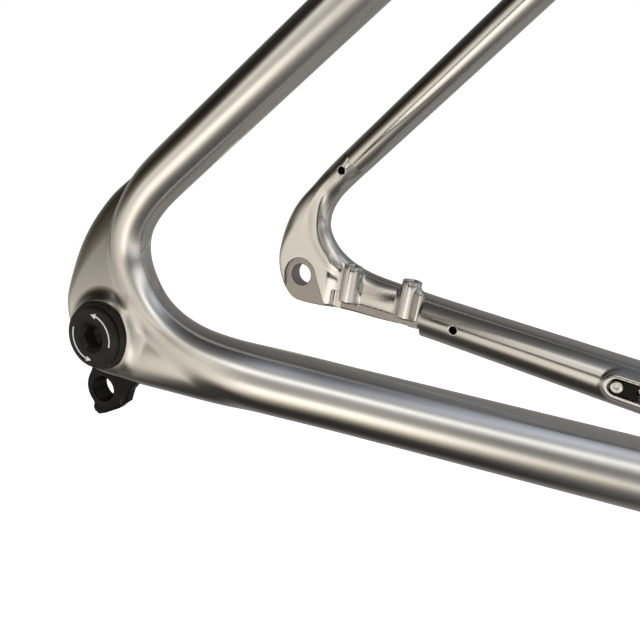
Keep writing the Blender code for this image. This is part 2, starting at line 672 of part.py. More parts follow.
def make_seat_collar(black, steel):
    """Clamp round the seat tube's slotted top, with a cross bolt behind."""
    height, inner, outer = 14.0, SEAT_RADIUS + GAP, SEAT_RADIUS + 3.4
    base = seat_point(SEAT_TUBE_LENGTH - height - 2)
    collar = turned("seat_collar", [(inner, 0), (outer - 0.6, 0), (outer, 0.6), (outer, height - 0.6),
                                    (outer - 0.6, height), (inner, height)], base, SEAT_WAY, 36, black)
    back = np.cross((0, 1, 0), SEAT_WAY) * -1.0
    middle = base + SEAT_WAY * height / 2
    ear = prism("ear_joiner", [(-6.2, -6.2), (6.2, -6.2), (6.2, 6.2), (-6.2, 6.2)],
                middle + back * (SEAT_RADIUS + 5.2) - np.array([0, 11.0, 0]), back, SEAT_WAY, (0, 1, 0), 22)
    bore = rod(base - SEAT_WAY * 8, base + SEAT_WAY * 30, inner, 36)
    split = prism("split_cutter", [(10, -1.2), (40, -1.2), (40, 1.2), (10, 1.2)],
                  base - SEAT_WAY * 5, back, (0, 1, 0), SEAT_WAY, 30)
    pivot = middle + back * (SEAT_RADIUS + 7.2)
    hole = rod(pivot - np.array([0, 20, 0]), pivot + np.array([0, 20, 0]), 2.8, 16)
    sideways = np.array([0, 1.0, 0])
    seats = [rod(pivot + sideways * side * 8, pivot + sideways * side * 20, 4.4, 20) for side in (-1, 1)]
    join(collar, ear)
    cut(collar, bore, split, hole, *seats)
    make_screw("seat_collar_bolt", pivot - np.array([0, 8.0 + GAP, 0]), (0, -1, 0),
               4.0, 4.0, 2.4, 16.0, 4.0, steel)
    nut = turned("seat_collar_nut", [(2.7, 0), (4.0, 0), (4.0, 3.4), (3.4, 4.0), (2.7, 4.0)],
                 pivot + np.array([0, 8.0 + GAP, 0]), (0, 1, 0), 18, steel)
    return nut


def main():
    clear_scene()
    metal = material("brushed_titanium", (0.52, 0.49, 0.45), 1.0, 0.32)
    black = material("black_anodised", (0.02, 0.02, 0.02), 0.6, 0.4)
    steel = material("steel_fastener", (0.62, 0.61, 0.58), 1.0, 0.28)
    triangle = make_main_triangle(metal)
    stays = make_stays(metal, triangle)
    make_bridges(metal)
    make_right_dropout(metal)
    make_left_dropout(metal)
    make_brake_bosses(metal)
    make_hanger(black)
    make_ports(stays, triangle, metal, black, steel)
    make_bottle_mounts(triangle, metal, steel)
    make_seat_collar(black, steel)


main()
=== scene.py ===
"""Looks of the titanium gravel frame: fine castings, tubes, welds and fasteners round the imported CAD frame.

Lengths are in millimetres. Points of the rear end are (forward, outward, up) from the axle's centre, where
outward is away from the frame's middle on either side. Other points are in the frame's own axes, from the
bottom bracket: x forward, y to the rider's left, z up.
"""

import json
import math

import bmesh
import bpy
import numpy as np
from mathutils import Matrix, Vector

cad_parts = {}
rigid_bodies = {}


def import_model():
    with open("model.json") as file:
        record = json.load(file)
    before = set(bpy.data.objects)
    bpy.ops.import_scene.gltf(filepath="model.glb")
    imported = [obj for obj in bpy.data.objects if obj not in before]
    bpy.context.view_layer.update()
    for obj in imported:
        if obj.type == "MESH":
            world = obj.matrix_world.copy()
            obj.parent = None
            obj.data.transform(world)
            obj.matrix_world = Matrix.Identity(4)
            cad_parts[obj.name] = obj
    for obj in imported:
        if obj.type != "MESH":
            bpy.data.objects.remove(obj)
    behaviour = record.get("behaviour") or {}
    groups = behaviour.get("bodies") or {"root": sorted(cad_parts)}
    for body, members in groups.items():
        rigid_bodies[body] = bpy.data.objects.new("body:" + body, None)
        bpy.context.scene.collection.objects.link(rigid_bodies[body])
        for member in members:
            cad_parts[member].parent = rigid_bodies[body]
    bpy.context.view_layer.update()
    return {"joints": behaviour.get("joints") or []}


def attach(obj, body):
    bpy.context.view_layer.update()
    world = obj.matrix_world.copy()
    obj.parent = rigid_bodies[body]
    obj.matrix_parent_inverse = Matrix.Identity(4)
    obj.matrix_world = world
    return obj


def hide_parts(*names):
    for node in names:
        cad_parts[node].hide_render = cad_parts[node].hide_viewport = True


MM = 0.001

for old in list(bpy.data.objects):
    bpy.data.objects.remove(old)
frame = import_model()
AXLE = np.array(next(j["pos_m"] for j in frame["joints"] if j["name"] == "hanger_swing")) / MM

# ---- layout of the frame, as in the CAD

SEAT_ANGLE = math.radians(73.5)
HEAD_ANGLE = math.radians(71.5)
STACK, REACH, HEAD_LENGTH = 575.0, 385.0, 140.0
SEAT_TUBE_LENGTH, TOP_TUBE_ON_SEAT, TOP_TUBE_BELOW_HEAD, DOWN_TUBE_ABOVE_HEAD = 500.0, 455.0, 34.0, 36.0
SEAT_RADIUS, SEAT_WALL, TOP_RADIUS, DOWN_RADIUS, MAIN_WALL = 17.45, 1.6, 17.45, 21.0, 1.2
HEAD_RADIUS, HEAD_RING_RADIUS, HEAD_RING_LENGTH, HEAD_BORE = 23.0, 25.0, 12.0, 20.6
HEAD_SEAT_BORE, HEAD_SEAT_DEPTH = 22.0, 15.0
SHELL_RADIUS, SHELL_BORE, SHELL_HALF, SHELL_LIP = 25.8, 23.2, 43.0, 24.4
CHAINSTAY_RADIUS, SEATSTAY_RADIUS, STAY_WALL = 11.0, 7.9, 1.1
SEATSTAY_BRIDGE_RADIUS, CHAINSTAY_BRIDGE_RADIUS = 6.35, 8.0
STAY_SLOPE, CHAINSTAY_HEIGHT, CHAINSTAY_SPREAD, CHAINSTAY_INWARD = -0.1665, -2.07, 81.8, -0.2077
SEATSTAY_FOOT, SEATSTAY_RISE, SEATSTAY_INWARD = (29.0, 72.35, 60.0), math.radians(39.0), -0.1168
VENT_RADIUS = 2.0


def unit(v):
    v = np.array(v, float)
    return v / np.linalg.norm(v)


def lengths(rows):
    return np.linalg.norm(rows, axis=1)


def units(rows):
    return rows / lengths(rows)[:, None]


def aside(rows, way):
    """The part of each row that is square to a direction."""
    return rows - (rows @ way)[:, None] * way


def distances_along(path):
    """How far along a path each of its points lies."""
    return np.concatenate([[0], np.cumsum(lengths(np.diff(path, axis=0)))])


def smooth_step(value):
    share = np.clip(value, 0, 1)
    return share * share * (3 - 2 * share)


SEAT_WAY = np.array([-math.cos(SEAT_ANGLE), 0.0, math.sin(SEAT_ANGLE)])
HEAD_WAY = np.array([-math.cos(HEAD_ANGLE), 0.0, math.sin(HEAD_ANGLE)])
HEAD_TOP = np.array([REACH, 0.0, STACK])
HEAD_FOOT = HEAD_TOP - HEAD_WAY * HEAD_LENGTH
STAY_WAY_SIDE = unit((1.0, 0.0, STAY_SLOPE))
STAY_UP = np.cross(STAY_WAY_SIDE, (0.0, 1.0, 0.0))


def chainstay_at(forward):
    """A point of a chainstay's centre line (forward, outward, up), by its distance forward of the axle."""
    straight, bend, late, entry, tuck = 190.0, 260.0, 340.0, 395.0, 4.0
    out = CHAINSTAY_SPREAD + CHAINSTAY_INWARD * min(forward, straight)
    if forward > straight:
        t = min(forward, bend) - straight
        out += CHAINSTAY_INWARD * (t - t * t / (2 * (bend - straight)))
    out -= tuck * smooth_step((forward - late) / (entry - late))
    return np.array([forward, out, CHAINSTAY_HEIGHT + STAY_SLOPE * forward])


def seatstay_at(along):
    """A point of a seatstay's centre line (forward, outward, up), by its distance up the stay."""
    bend, curl = 290.0, 0.00353
    out = SEATSTAY_FOOT[1] + SEATSTAY_INWARD * along
    if along > bend:
        out -= curl * (along - bend) ** 2
    return np.array([SEATSTAY_FOOT[0] + along * math.cos(SEATSTAY_RISE), out,
                     SEATSTAY_FOOT[2] + along * math.sin(SEATSTAY_RISE)])


def on_side(points, side):
    """Rear-end points on one side, in the frame's own axes."""
    return AXLE + np.asarray(points, float) * (1, side, 1)


def stay_way(place, at, side, reach=4.0):
    """The way a stay's centre line runs, from a little behind a place to a little ahead."""
    return on_side(place(at + reach), side) - on_side(place(at - reach), side)


# ---- camera

CAMERA_FROM_AXLE = (160.53, -243.18, 55.97)
CAMERA_YAW, CAMERA_PITCH, CAMERA_ROLL = 25.244, 13.186, 0.638
CAMERA_SENSOR, CAMERA_LENS = 36.0, 34.97


def make_camera():
    """Ahead and to the right of the axle, looking back and down across both dropouts."""
    yaw, pitch, roll = (math.radians(angle) for angle in (CAMERA_YAW, CAMERA_PITCH, CAMERA_ROLL))
    look = Vector((-math.sin(yaw) * math.cos(pitch), math.cos(yaw) * math.cos(pitch), -math.sin(pitch)))
    right = look.cross(Vector((0, 0, 1))).normalized()
    up = right.cross(look)
    tilted_right = right * math.cos(roll) + up * math.sin(roll)
    tilted_up = up * math.cos(roll) - right * math.sin(roll)
    camera = bpy.data.objects.new("camera", bpy.data.cameras.new("camera"))
    turn = Matrix((tilted_right, tilted_up, -look)).transposed()
    camera.matrix_world = Matrix.Translation(Vector(AXLE + CAMERA_FROM_AXLE) * MM) @ turn.to_4x4()
    camera.data.sensor_width = CAMERA_SENSOR
    camera.data.lens = CAMERA_LENS
    camera.data.clip_start = 0.01
    bpy.context.scene.collection.objects.link(camera)
    bpy.context.scene.camera = camera


# ---- shader helpers


class Graph:
    """Short calls for building a node tree."""

    def __init__(self, tree):
        self.tree = tree

    def add(self, kind, inputs=None, **settings):
        made = self.tree.nodes.new(kind)
        for name, value in settings.items():
            setattr(made, name, value)
        for name, value in (inputs or {}).items():
            self.feed(made.inputs[name], value)
        return made

    def out(self, kind, inputs=None, **settings):
        return self.add(kind, inputs, **settings).outputs[0]

    def feed(self, socket, value):
        if isinstance(value, bpy.types.NodeSocket):
            self.tree.links.new(value, socket)
        else:
            socket.default_value = value

    def math(self, operation, a, b=0.0, clamp=False):
        return self.out("ShaderNodeMath", {0: a, 1: b}, operation=operation, use_clamp=clamp)

    def vector(self, operation, a, b):
        made = self.add("ShaderNodeVectorMath", {0: a, 1: b}, operation=operation)
        return made.outputs["Value" if operation == "DOT_PRODUCT" else "Vector"]

    def mix(self, share, a, b):
        made = self.add("ShaderNodeMix", data_type="RGBA")
        for socket, value in ((made.inputs[0], share), (made.inputs[6], a), (made.inputs[7], b)):
            self.feed(socket, value)
        return made.outputs[2]

    def span(self, value, low, high, to_low=0.0, to_high=1.0):
        """A value mapped from one range to another, and kept inside it."""
        return self.out("ShaderNodeMapRange", {0: value, 1: low, 2: high, 3: to_low, 4: to_high})

    def ramp(self, value, stops):
        made = self.add("ShaderNodeValToRGB", {0: value})
        points = made.color_ramp.elements
        for i, (place, colour) in enumerate(stops):
            point = points[i] if i < 2 else points.new(place)
            point.position, point.color = place, (*colour, 1.0)
        return made.outputs[0]

    def noise(self, place, scale, detail=2.0, w=None):
        made = self.add("ShaderNodeTexNoise", {"Vector": place, "Scale": scale, "Detail": detail},
                        noise_dimensions="3D" if w is None else "4D")
        if w is not None:
            self.feed(made.inputs["W"], w)
        return made.outputs[0]

    def bump(self, shader, height, strength, distance):
        made = self.out("ShaderNodeBump", {"Strength": strength, "Distance": distance, "Height": height})
        self.feed(shader.inputs["Normal"], made)


def new_material(name):
    made = bpy.data.materials.new(name)
    made.use_nodes = True
    graph = Graph(made.node_tree)
    shader = made.node_tree.nodes["Principled BSDF"]
    place = graph.add("ShaderNodeTexCoord").outputs["Object"]
    return made, graph, shader, place


# ---- studio light

METAL_REFLECTANCE = 0.6
# What shines from each side of the studio: height above the horizon in degrees, brightness as it shows in
# the metal (0 to 255) and warmth (1 cream, -1 blue). The floor and the ceiling are the same on every side.
STUDIO_FLOOR, STUDIO_CEILING = (-90, 45, .2), (90, 60, -.4)
STUDIO = {
    -65: [(-60, 85, .3), (-52, 100, .3), (-43, 122, .7), (-33, 165, 1), (-24, 205, .9),
          (-16, 180, .6), (-5, 125, .5), (8, 108, .4), (15, 130, .3), (21, 175, .2), (34, 255, .1),
          (40, 195, 0), (47, 155, -.2), (55, 170, -.7), (62, 165, -1), (73, 115, -1.2)],
    -90: [(-72, 50, .3), (-60, 68, .6), (-47, 138, 1.2), (-36, 215, 1.3), (-27, 262, .9),
          (-15, 270, .5), (-6, 190, .9), (3, 160, .8), (11, 160, .6), (21, 155, .5), (28, 215, .3),
          (35, 278, .1), (41, 225, 0), (48, 155, -.1), (60, 105, -.4), (75, 88, -.8)],
    -114: [(-60, 60, .5), (-47, 112, 1), (-37, 170, 1.3), (-27, 216, 1), (-15, 208, .8),
           (-5, 200, .8), (4, 205, .9), (9, 190, .9), (14, 220, .8), (20, 200, .8), (30, 215, .5),
           (36, 190, .2), (42, 120, 0), (50, 98, 0), (60, 85, -.1)],
    -122: [(-58, 52, .5), (-45, 70, .9), (-34, 130, 1), (-27, 190, 1), (-18, 200, .9),
           (-5, 200, .9), (3, 200, 1), (9, 145, 1.2), (14, 122, 1.5), (22, 105, 1.6), (32, 112, 1),
           (42, 95, .6), (52, 85, 0)],
    -134: [(-58, 50, .5), (-45, 52, .8), (-34, 80, 1), (-26, 140, 1), (-18, 185, .9),
           (-5, 185, .9), (2, 155, 1), (8, 118, 1.3), (14, 88, 1.8), (21, 52, 2.4), (32, 34, 2), (45, 42, .8),
           (60, 66, -.2)],
    -165: [(-58, 50, .5), (-40, 80, .8), (-28, 130, .8), (-15, 160, .8), (-3, 150, .9),
           (4, 110, 1.2), (12, 60, 2), (20, 40, 2.4), (32, 31, 2), (45, 36, .8), (62, 58, -.2)],
    150: [(-66, 70, .5), (-51, 105, .5), (-30, 120, .4), (-10, 140, .4), (5, 130, .5),
          (20, 105, .6), (33, 72, .7), (45, 58, .5), (65, 60, 0)],
    90: [(-68, 95, .3), (-52, 118, .3), (-35, 112, .4), (-12, 120, .3), (5, 118, .2),
         (20, 108, .2), (48, 108, .1), (67, 96, -.1), (80, 72, -.3)],
    30: [(-62, 128, .3), (-45, 120, .3), (-20, 130, .2), (0, 130, 0), (25, 120, -.2),
         (50, 110, -.4), (76, 105, -1)],
    -25: [(-60, 84, .2), (-52, 96, .1), (-43, 116, .4), (-34, 150, .7), (-22, 205, .3),
          (-8, 195, -.2), (8, 140, -.3), (21, 175, -.2), (34, 240, 0), (46, 165, -.4), (59, 195, -1),
          (71, 165, -1.4)],
}


def seen_as(brightness, warmth):
    """The light that a polished patch of the metal shows at this brightness."""
    light = (brightness / 255.0) ** 2.2 / METAL_REFLECTANCE
    return (light * (1 + 0.07 * warmth), light, light * (1 - 0.13 * warmth))


def make_world():
    """A white room to the camera. Everything else is lit by soft panels round the studio."""
    world = bpy.data.worlds.new("studio")
    world.use_nodes = True
    bpy.context.scene.world = world
    graph = Graph(world.node_tree)
    background = world.node_tree.nodes["Background"]
    way = graph.add("ShaderNodeTexCoord").outputs["Generated"]
    x, y, z = graph.add("ShaderNodeSeparateXYZ", {0: way}).outputs
    height = graph.math("DIVIDE", graph.math("ARCSINE", z), math.pi)
    height = graph.math("ADD", height, 0.5)
    heading = graph.math("ARCTAN2", y, x)
    azimuths = sorted(STUDIO)
    total = None
    for i, azimuth in enumerate(azimuths):
        stops = [STUDIO_FLOOR, *STUDIO[azimuth], STUDIO_CEILING]
        away = graph.math("SUBTRACT", heading, math.radians(azimuth))
        away = graph.out("ShaderNodeMath", {0: away, 1: -math.pi, 2: math.pi}, operation="WRAP")
        before = math.radians((azimuths[i - 1] - azimuth) % -360)
        after = math.radians((azimuths[(i + 1) % len(azimuths)] - azimuth) % 360)
        away = graph.math("MAXIMUM", graph.math("DIVIDE", away, before), graph.math("DIVIDE", away, after))
        share = graph.math("SUBTRACT", 1.0, away, clamp=True)
        colour = graph.ramp(height, [(0.5 + up / 180.0, seen_as(bright, warmth))
                                     for up, bright, warmth in stops])
        part = graph.out("ShaderNodeVectorMath", {0: colour, "Scale": share}, operation="SCALE")
        total = part if total is None else graph.vector("ADD", total, part)
    to_camera = graph.add("ShaderNodeLightPath").outputs["Is Camera Ray"]
    graph.feed(background.inputs["Color"], graph.mix(to_camera, total, (1.0, 1.0, 1.0, 1.0)))
    bpy.context.scene.view_settings.view_transform = "Standard"


def make_floor():
    """A pale floor where the tyres would stand. Sizes are in metres."""
    half_size, height = 6.0, -0.272
    bm = bmesh.new()
    bmesh.ops.create_grid(bm, x_segments=24, y_segments=24, size=half_size)
    mesh = bpy.data.meshes.new("floor")
    bm.to_mesh(mesh)
    bm.free()
    floor = bpy.data.objects.new("floor", mesh)
    floor.location = (0, 0, height)
    bpy.context.scene.collection.objects.link(floor)
    made, graph, shader, place = new_material("pale_floor")
    shade = graph.span(graph.noise(place, 3.0), 0.3, 0.7, 0.90, 0.94)
    grey = graph.out("ShaderNodeCombineColor", {0: shade, 1: shade, 2: shade})
    graph.feed(shader.inputs["Base Color"], grey)
    shader.inputs["Roughness"].default_value = 0.9
    shader.inputs["Emission Color"].default_value = (1, 1, 1, 1)
    shader.inputs["Emission Strength"].default_value = 0.85
    mesh.materials.append(made)
    floor.visible_glossy = False


# ---- materials


def titanium(name, way=None, machined=False):
    """Brushed bare titanium. The brush ran round each tube, so its lines lie across the tube's way: either a
    fixed direction or, on bent pieces, the distance stored on the mesh."""
    made, graph, shader, place = new_material(name)
    if way is None:
        along = graph.add("ShaderNodeAttribute", attribute_name="along").outputs["Fac"]
    else:
        along = graph.math("MULTIPLY", graph.vector("DOT_PRODUCT", place, tuple(way)), 1000.0)
    fine = graph.noise(place, 60.0, 2.0, graph.math("MULTIPLY", along, 1.5))
    coarse = graph.noise(place, 25.0, 2.0, graph.math("MULTIPLY", along, 0.55))
    cloud = graph.noise(place, 28.0, 3.0)
    warm = graph.mix(graph.span(cloud, 0.3, 0.7), (0.600, 0.584, 0.560, 1), (0.655, 0.638, 0.614, 1))
    streaked = graph.mix(graph.span(coarse, 0.35, 0.75, 0.0, 0.25), warm, (0.50, 0.485, 0.462, 1))
    base_roughness, grooves = (0.42, 0.2) if machined else (0.12, 0.05)
    rough = graph.math("ADD", graph.span(fine, 0.3, 0.7, -0.035, 0.05), base_roughness)
    rough = graph.math("ADD", rough, graph.span(cloud, 0.35, 0.75, 0.0, 0.05))
    if machined:
        streaked = graph.mix(0.65, streaked, (0.30, 0.268, 0.235, 1))
    graph.feed(shader.inputs["Base Color"], streaked)
    graph.feed(shader.inputs["Roughness"], rough)
    graph.bump(shader, fine, grooves, 0.0002)
    shader.inputs["Metallic"].default_value = 1.0
    return made


def black_anodised(name, gloss, tint=1.0):
    """Anodised aluminium: nearly black, with faint mottling and rubbed edges."""
    made, graph, shader, place = new_material(name)
    mottle = graph.noise(place, 900.0, 3.0)
    cloud = graph.noise(place, 90.0, 2.0)
    rubbed = graph.span(graph.add("ShaderNodeNewGeometry").outputs["Pointiness"], 0.53, 0.6)
    dark = (0.004 * tint, 0.0036 * tint, 0.003 * tint, 1)
    light = (0.010 * tint, 0.009 * tint, 0.0075 * tint, 1)
    colour = graph.mix(graph.span(cloud, 0.3, 0.7), dark, light)
    graph.feed(shader.inputs["Base Color"], graph.mix(rubbed, colour, (0.05, 0.045, 0.04, 1)))
    graph.feed(shader.inputs["Roughness"], graph.span(mottle, 0.25, 0.75, gloss, gloss + 0.12))
    graph.bump(shader, mottle, 0.08, 0.0001)
    shader.inputs["Specular IOR Level"].default_value = 0.12
    return made


def steel(name):
    """Bright steel with fine scratches."""
    made, graph, shader, place = new_material(name)
    scratch = graph.noise(graph.vector("MULTIPLY", place, (900.0, 900.0, 120.0)), 1.0, 2.0)
    cloud = graph.noise(place, 400.0, 2.0)
    graph.feed(shader.inputs["Base Color"],
               graph.mix(graph.span(cloud, 0.3, 0.7), (0.60, 0.59, 0.57, 1), (0.70, 0.69, 0.67, 1)))
    graph.feed(shader.inputs["Roughness"], graph.span(scratch, 0.3, 0.7, 0.2, 0.34))
    graph.bump(shader, scratch, 0.1, 0.0001)
    shader.inputs["Metallic"].default_value = 1.0
    return made


def plain_finish(name, low, high, roughness, metallic=0.0):
    """A small plain surface with a little cloudiness: paint in an arrow, or painted shade for the inside of a
    bore.
    """
    made, graph, shader, place = new_material(name)
    cloud = graph.span(graph.noise(place, 700.0, 2.0), 0.3, 0.7)
    graph.feed(shader.inputs["Base Color"], graph.mix(cloud, (*low, 1), (*high, 1)))
    graph.feed(shader.inputs["Roughness"], graph.span(cloud, 0.0, 1.0, roughness, roughness + 0.1))
    shader.inputs["Metallic"].default_value = metallic
    return made


METAL = titanium("brushed_titanium_bent")
MACHINED = titanium("machined_titanium", machined=True)
# Painted shade: a near-black finish on the faces inside the vent holes, standing in for the shade there.
PAINTED_SHADE_BORE = plain_finish("painted_shade_bore", (0.006, 0.005, 0.004), (0.014, 0.012, 0.010), 0.6, 0.5)
BLACK_GLOSS = black_anodised("black_anodised_gloss", 0.14, 2.6)
BLACK_SATIN = black_anodised("black_anodised_satin", 0.30)
BLACK_THREAD = black_anodised("black_anodised_thread", 0.22)
WELD = titanium("weld_bead", (0.0, 0.0, 0.0))
STEEL = steel("steel_fastener")
ARROW_PAINT = plain_finish("arrow_paint", (0.74, 0.73, 0.71), (0.84, 0.83, 0.81), 0.5)


# ---- meshes from points


def add_mesh(name, points, faces, finishes, body="frame", stands_for=(), slot="brushed_titanium"):
    """An object from points in millimetres, which rides on a body and hides the CAD nodes it stands for."""
    mesh = bpy.data.meshes.new(name)
    mesh.from_pydata((np.asarray(points, float) * MM).tolist(), [], [tuple(int(i) for i in f) for f in faces])
    mesh.shade_smooth()
    obj = bpy.data.objects.new(name, mesh)
    bpy.context.scene.collection.objects.link(obj)
    for finish in finishes:
        mesh.materials.append(finish)
    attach(obj, body)
    if stands_for:
        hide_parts(*stands_for)
    return obj


def set_along(obj, values):
    """The distance along a piece, which its brush lines follow."""
    attribute = obj.data.attributes.new("along", "FLOAT", "POINT")
    attribute.data.foreach_set("value", np.asarray(values, np.float32))


def sharpen(mesh, degrees):
    mesh.set_sharp_from_angle(angle=math.radians(degrees))


def set_normals(obj, normals):
    obj.data.normals_split_custom_set(normals.reshape(-1, 3).tolist())


def mirrored(quads, normals):
    """A left piece's faces and corner normals, turned over for the right side."""
    return quads[:, ::-1], normals[:, ::-1] * (1, -1, 1)


# ---- surfaces from distance fields


class Curve:
    """A uniform cubic B-spline. Columns past the first two or three carry other values, such as a radius."""

    def __init__(self, control, dims):
        a, b, c, d = (np.array(control[i:len(control) - 3 + i], float) for i in range(4))
        self.parts = ((a + 4 * b + c) / 6, (c - a) / 2, (a - 2 * b + c) / 2, (3 * b - a - 3 * c + d) / 6)
        self.spans = len(a)
        self.dims = dims

    def at(self, t):
        """Value, slope and second slope at parameters t."""
        i = np.clip(t.astype(int), 0, self.spans - 1)
        u = (t - i)[:, None]
        a, b, c, d = (part[i] for part in self.parts)
        return a + u * (b + u * (c + u * d)), b + u * (2 * c + 3 * u * d), 2 * c + 6 * u * d

    def nearest(self, p):
        """The parameter nearest to each point."""
        tries = np.linspace(0, self.spans, self.spans * 4 + 1)
        places = self.at(tries)[0][:, :self.dims]
        t = np.empty(len(p))
        batch = 50000
        for low in range(0, len(p), batch):
            part = p[low:low + batch]
            far = (places**2).sum(1) - 2 * part @ places.T
            t[low:low + batch] = tries[far.argmin(1)]
        for _ in range(3):
            value, slope, bend = (v[:, :self.dims] for v in self.at(t))
            gap = value - p
            size = (slope * slope).sum(1)
            step = (gap * slope).sum(1) / np.maximum(size + (gap * bend).sum(1), 0.3 * size)
            t = np.clip(t - np.clip(step, -0.3, 0.3), 0, self.spans)
        return t


def soft_union(a, b, width):
    """Two distance fields as one, with a rounded inner corner of about this width."""
    overlap = np.clip(width - np.abs(a - b), 0, None) / width
    return np.minimum(a, b) - overlap * overlap * width / 4


def soft_cut(a, cutter, width):
    return -soft_union(-a, cutter, width)


def soft_all(width, *parts):
    """Inside only where every part is."""
    made = parts[0]
    for part in parts[1:]:
        made = -soft_union(-made, -part, width)
    return made


def polygon_distance(x, y, corners):
    """Signed distance to a flat outline, negative inside."""
    corners = np.array(corners, float)
    best = np.full(len(x), 1e9)
    inside = np.zeros(len(x), bool)
    for (ax, ay), (bx, by) in zip(corners, np.roll(corners, -1, axis=0)):
        ex, ey = bx - ax, by - ay
        t = np.clip(((x - ax) * ex + (y - ay) * ey) / (ex * ex + ey * ey), 0, 1)
        best = np.minimum(best, np.hypot(x - ax - t * ex, y - ay - t * ey))
        crosses = (ay > y) != (by > y)
        if ey:
            inside ^= crosses & (x < ax + (y - ay) * ex / ey)
    return np.where(inside, -best, best)


TETRA = np.array([(1, -1, -1), (-1, -1, 1), (-1, 1, -1), (1, 1, 1)], float)


def gradient(field, p, reach=0.03):
    """The field's slope at each point, from four samples round it."""
    return sum(corner * field(p + corner * reach)[:, None] for corner in TETRA) / (4 * reach)


def lattice_values(field, axes, coarse=4):
    """The field on a lattice. Far from the surface, the nearest value of a coarser lattice will do."""
    shape = [len(a) for a in axes]
    rough = np.stack(np.meshgrid(*(a[::coarse] for a in axes), indexing="ij"), -1)
    values = field(rough.reshape(-1, 3)).reshape(rough.shape[:3])
    for axis in range(3):
        values = np.repeat(values, coarse, axis)
    values = np.ascontiguousarray(values[:shape[0], :shape[1], :shape[2]])
    step = axes[0][1] - axes[0][0]
    near = np.argwhere(np.abs(values) < step * (coarse * 1.8))
    places = np.column_stack([axes[i][near[:, i]] for i in range(3)])
    values[tuple(near.T)] = field(places)
    return values


def contour(field, low, high, step):
    """Points and quads of the surface where the field is zero, with sharp edges kept (dual contouring)."""
    low = np.array(low, float)
    counts = np.ceil((np.array(high) - low) / step).astype(int) + 1
    axes = [low[i] + step * np.arange(counts[i]) for i in range(3)]
    values = lattice_values(field, axes)
    crossed, places = [], []
    for axis in range(3):
        u, v = np.eye(3, dtype=int)[(axis + 1) % 3], np.eye(3, dtype=int)[(axis + 2) % 3]
        first = tuple(slice(0, -1) if i == axis else slice(1, -1) for i in range(3))
        second = tuple(slice(1, None) if i == axis else slice(1, -1) for i in range(3))
        a, b = values[first], values[second]
        at = np.argwhere((a < 0) != (b < 0))
        va, vb = a[tuple(at.T)], b[tuple(at.T)]
        at = at + np.array([0 if i == axis else 1 for i in range(3)])
        place = low + at * step
        place[:, axis] += va / (va - vb) * step
        cells = np.stack([at, at - u, at - u - v, at - v], 1)
        cells[va > 0] = cells[va > 0][:, ::-1]
        crossed.append(np.ravel_multi_index(cells.reshape(-1, 3).T, counts).reshape(-1, 4))
        places.append(place)
    crossed, places = np.concatenate(crossed), np.concatenate(places)
    normals = units(gradient(field, places))
    cell_ids, quads = np.unique(crossed.ravel(), return_inverse=True)
    owner = quads.ravel()
    quads = owner.reshape(-1, 4)
    n, p = np.repeat(normals, 4, axis=0), np.repeat(places, 4, axis=0)

    def gather(values):
        return np.bincount(owner, weights=values, minlength=len(cell_ids))

    middle = np.stack([gather(p[:, i]) for i in range(3)], 1) / gather(np.ones(len(owner)))[:, None]
    hold = 0.08  # keeps a point near its cell's middle where the surface is flat
    pull = np.einsum("ij,ij->i", n, p - middle[owner])
    left = np.empty((len(cell_ids), 3, 3))
    right = np.stack([gather(n[:, i] * pull) for i in range(3)], 1)
    for i in range(3):
        for j in range(3):
            left[:, i, j] = gather(n[:, i] * n[:, j]) + (hold if i == j else 0.0)
    points = middle + np.linalg.solve(left, right[:, :, None])[:, :, 0]
    corner = low + np.stack(np.unravel_index(cell_ids, counts), 1) * step
    points = np.clip(points, corner, corner + step)
    for _ in range(2):
        slope = gradient(field, points)
        size = np.maximum((slope * slope).sum(1), 0.05)
        points -= np.clip(field(points) / size, -0.3 * step, 0.3 * step)[:, None] * slope
    return points, quads


def face_normals(corners):
    faces = np.cross(corners[:, 2] - corners[:, 0], corners[:, 3] - corners[:, 1])
    return faces / np.maximum(lengths(faces), 1e-12)[:, None]


def corner_normals(field, points, quads):
    """A normal for each corner of each quad: the surface's own, taken on the quad's side of a sharp edge."""
    bent, lost = math.cos(math.radians(20)), math.cos(math.radians(50))
    corners = points[quads]
    faces = face_normals(corners)
    normals = units(gradient(field, points))[quads]
    sharp = np.einsum("fci,fi->fc", normals, faces) < bent
    inner = corners * 0.6 + corners.mean(1)[:, None] * 0.4
    normals[sharp] = units(gradient(field, inner[sharp], 0.01))
    astray = np.einsum("fci,fi->fc", normals, faces) < lost
    normals[astray] = np.broadcast_to(faces[:, None], normals.shape)[astray]
    return normals


# ---- dropouts

# The rib round each side's bend, from the seatstay's foot to the chainstay: forward, outward, up, radius.
RIB = {
    1: [(15.0, 75.0, 46.4, 7.3), (11.0, 74.8, 38.1, 6.8), (9.9, 74.9, 28.1, 6.1), (12.1, 75.2, 20.0, 6.2),
        (17.2, 75.5, 11.7, 6.2), (24.8, 75.7, 4.2, 6.8), (35.8, 75.8, -3.2, 7.9), (51.8, 73.4, -9.2, 9.8)],
    -1: [(15.0, 75.0, 46.4, 7.3), (9.5, 75.4, 37.8, 6.9), (7.8, 75.1, 27.8, 6.9), (10.3, 75.3, 19.3, 6.9),
         (15.7, 75.8, 10.8, 6.7), (23.8, 75.9, 3.4, 7.0), (35.6, 75.5, -3.7, 8.6), (51.8, 73.2, -9.1, 10.4)],
}
# The foot, which runs from under the axle into the chainstay.
FOOT = [
    (-16.0, 75.0, -3.8, 6.4), (0.0, 74.6, -7.9, 7.7), (16.0, 74.6, -8.7, 8.1), (32.0, 74.6, -9.3, 9.1),
    (49.0, 73.0, -10.7, 10.6),
]
SEAT_SEAM, CHAIN_SEAM = 6.0, 100.0  # where the fine castings end and the fine stays begin
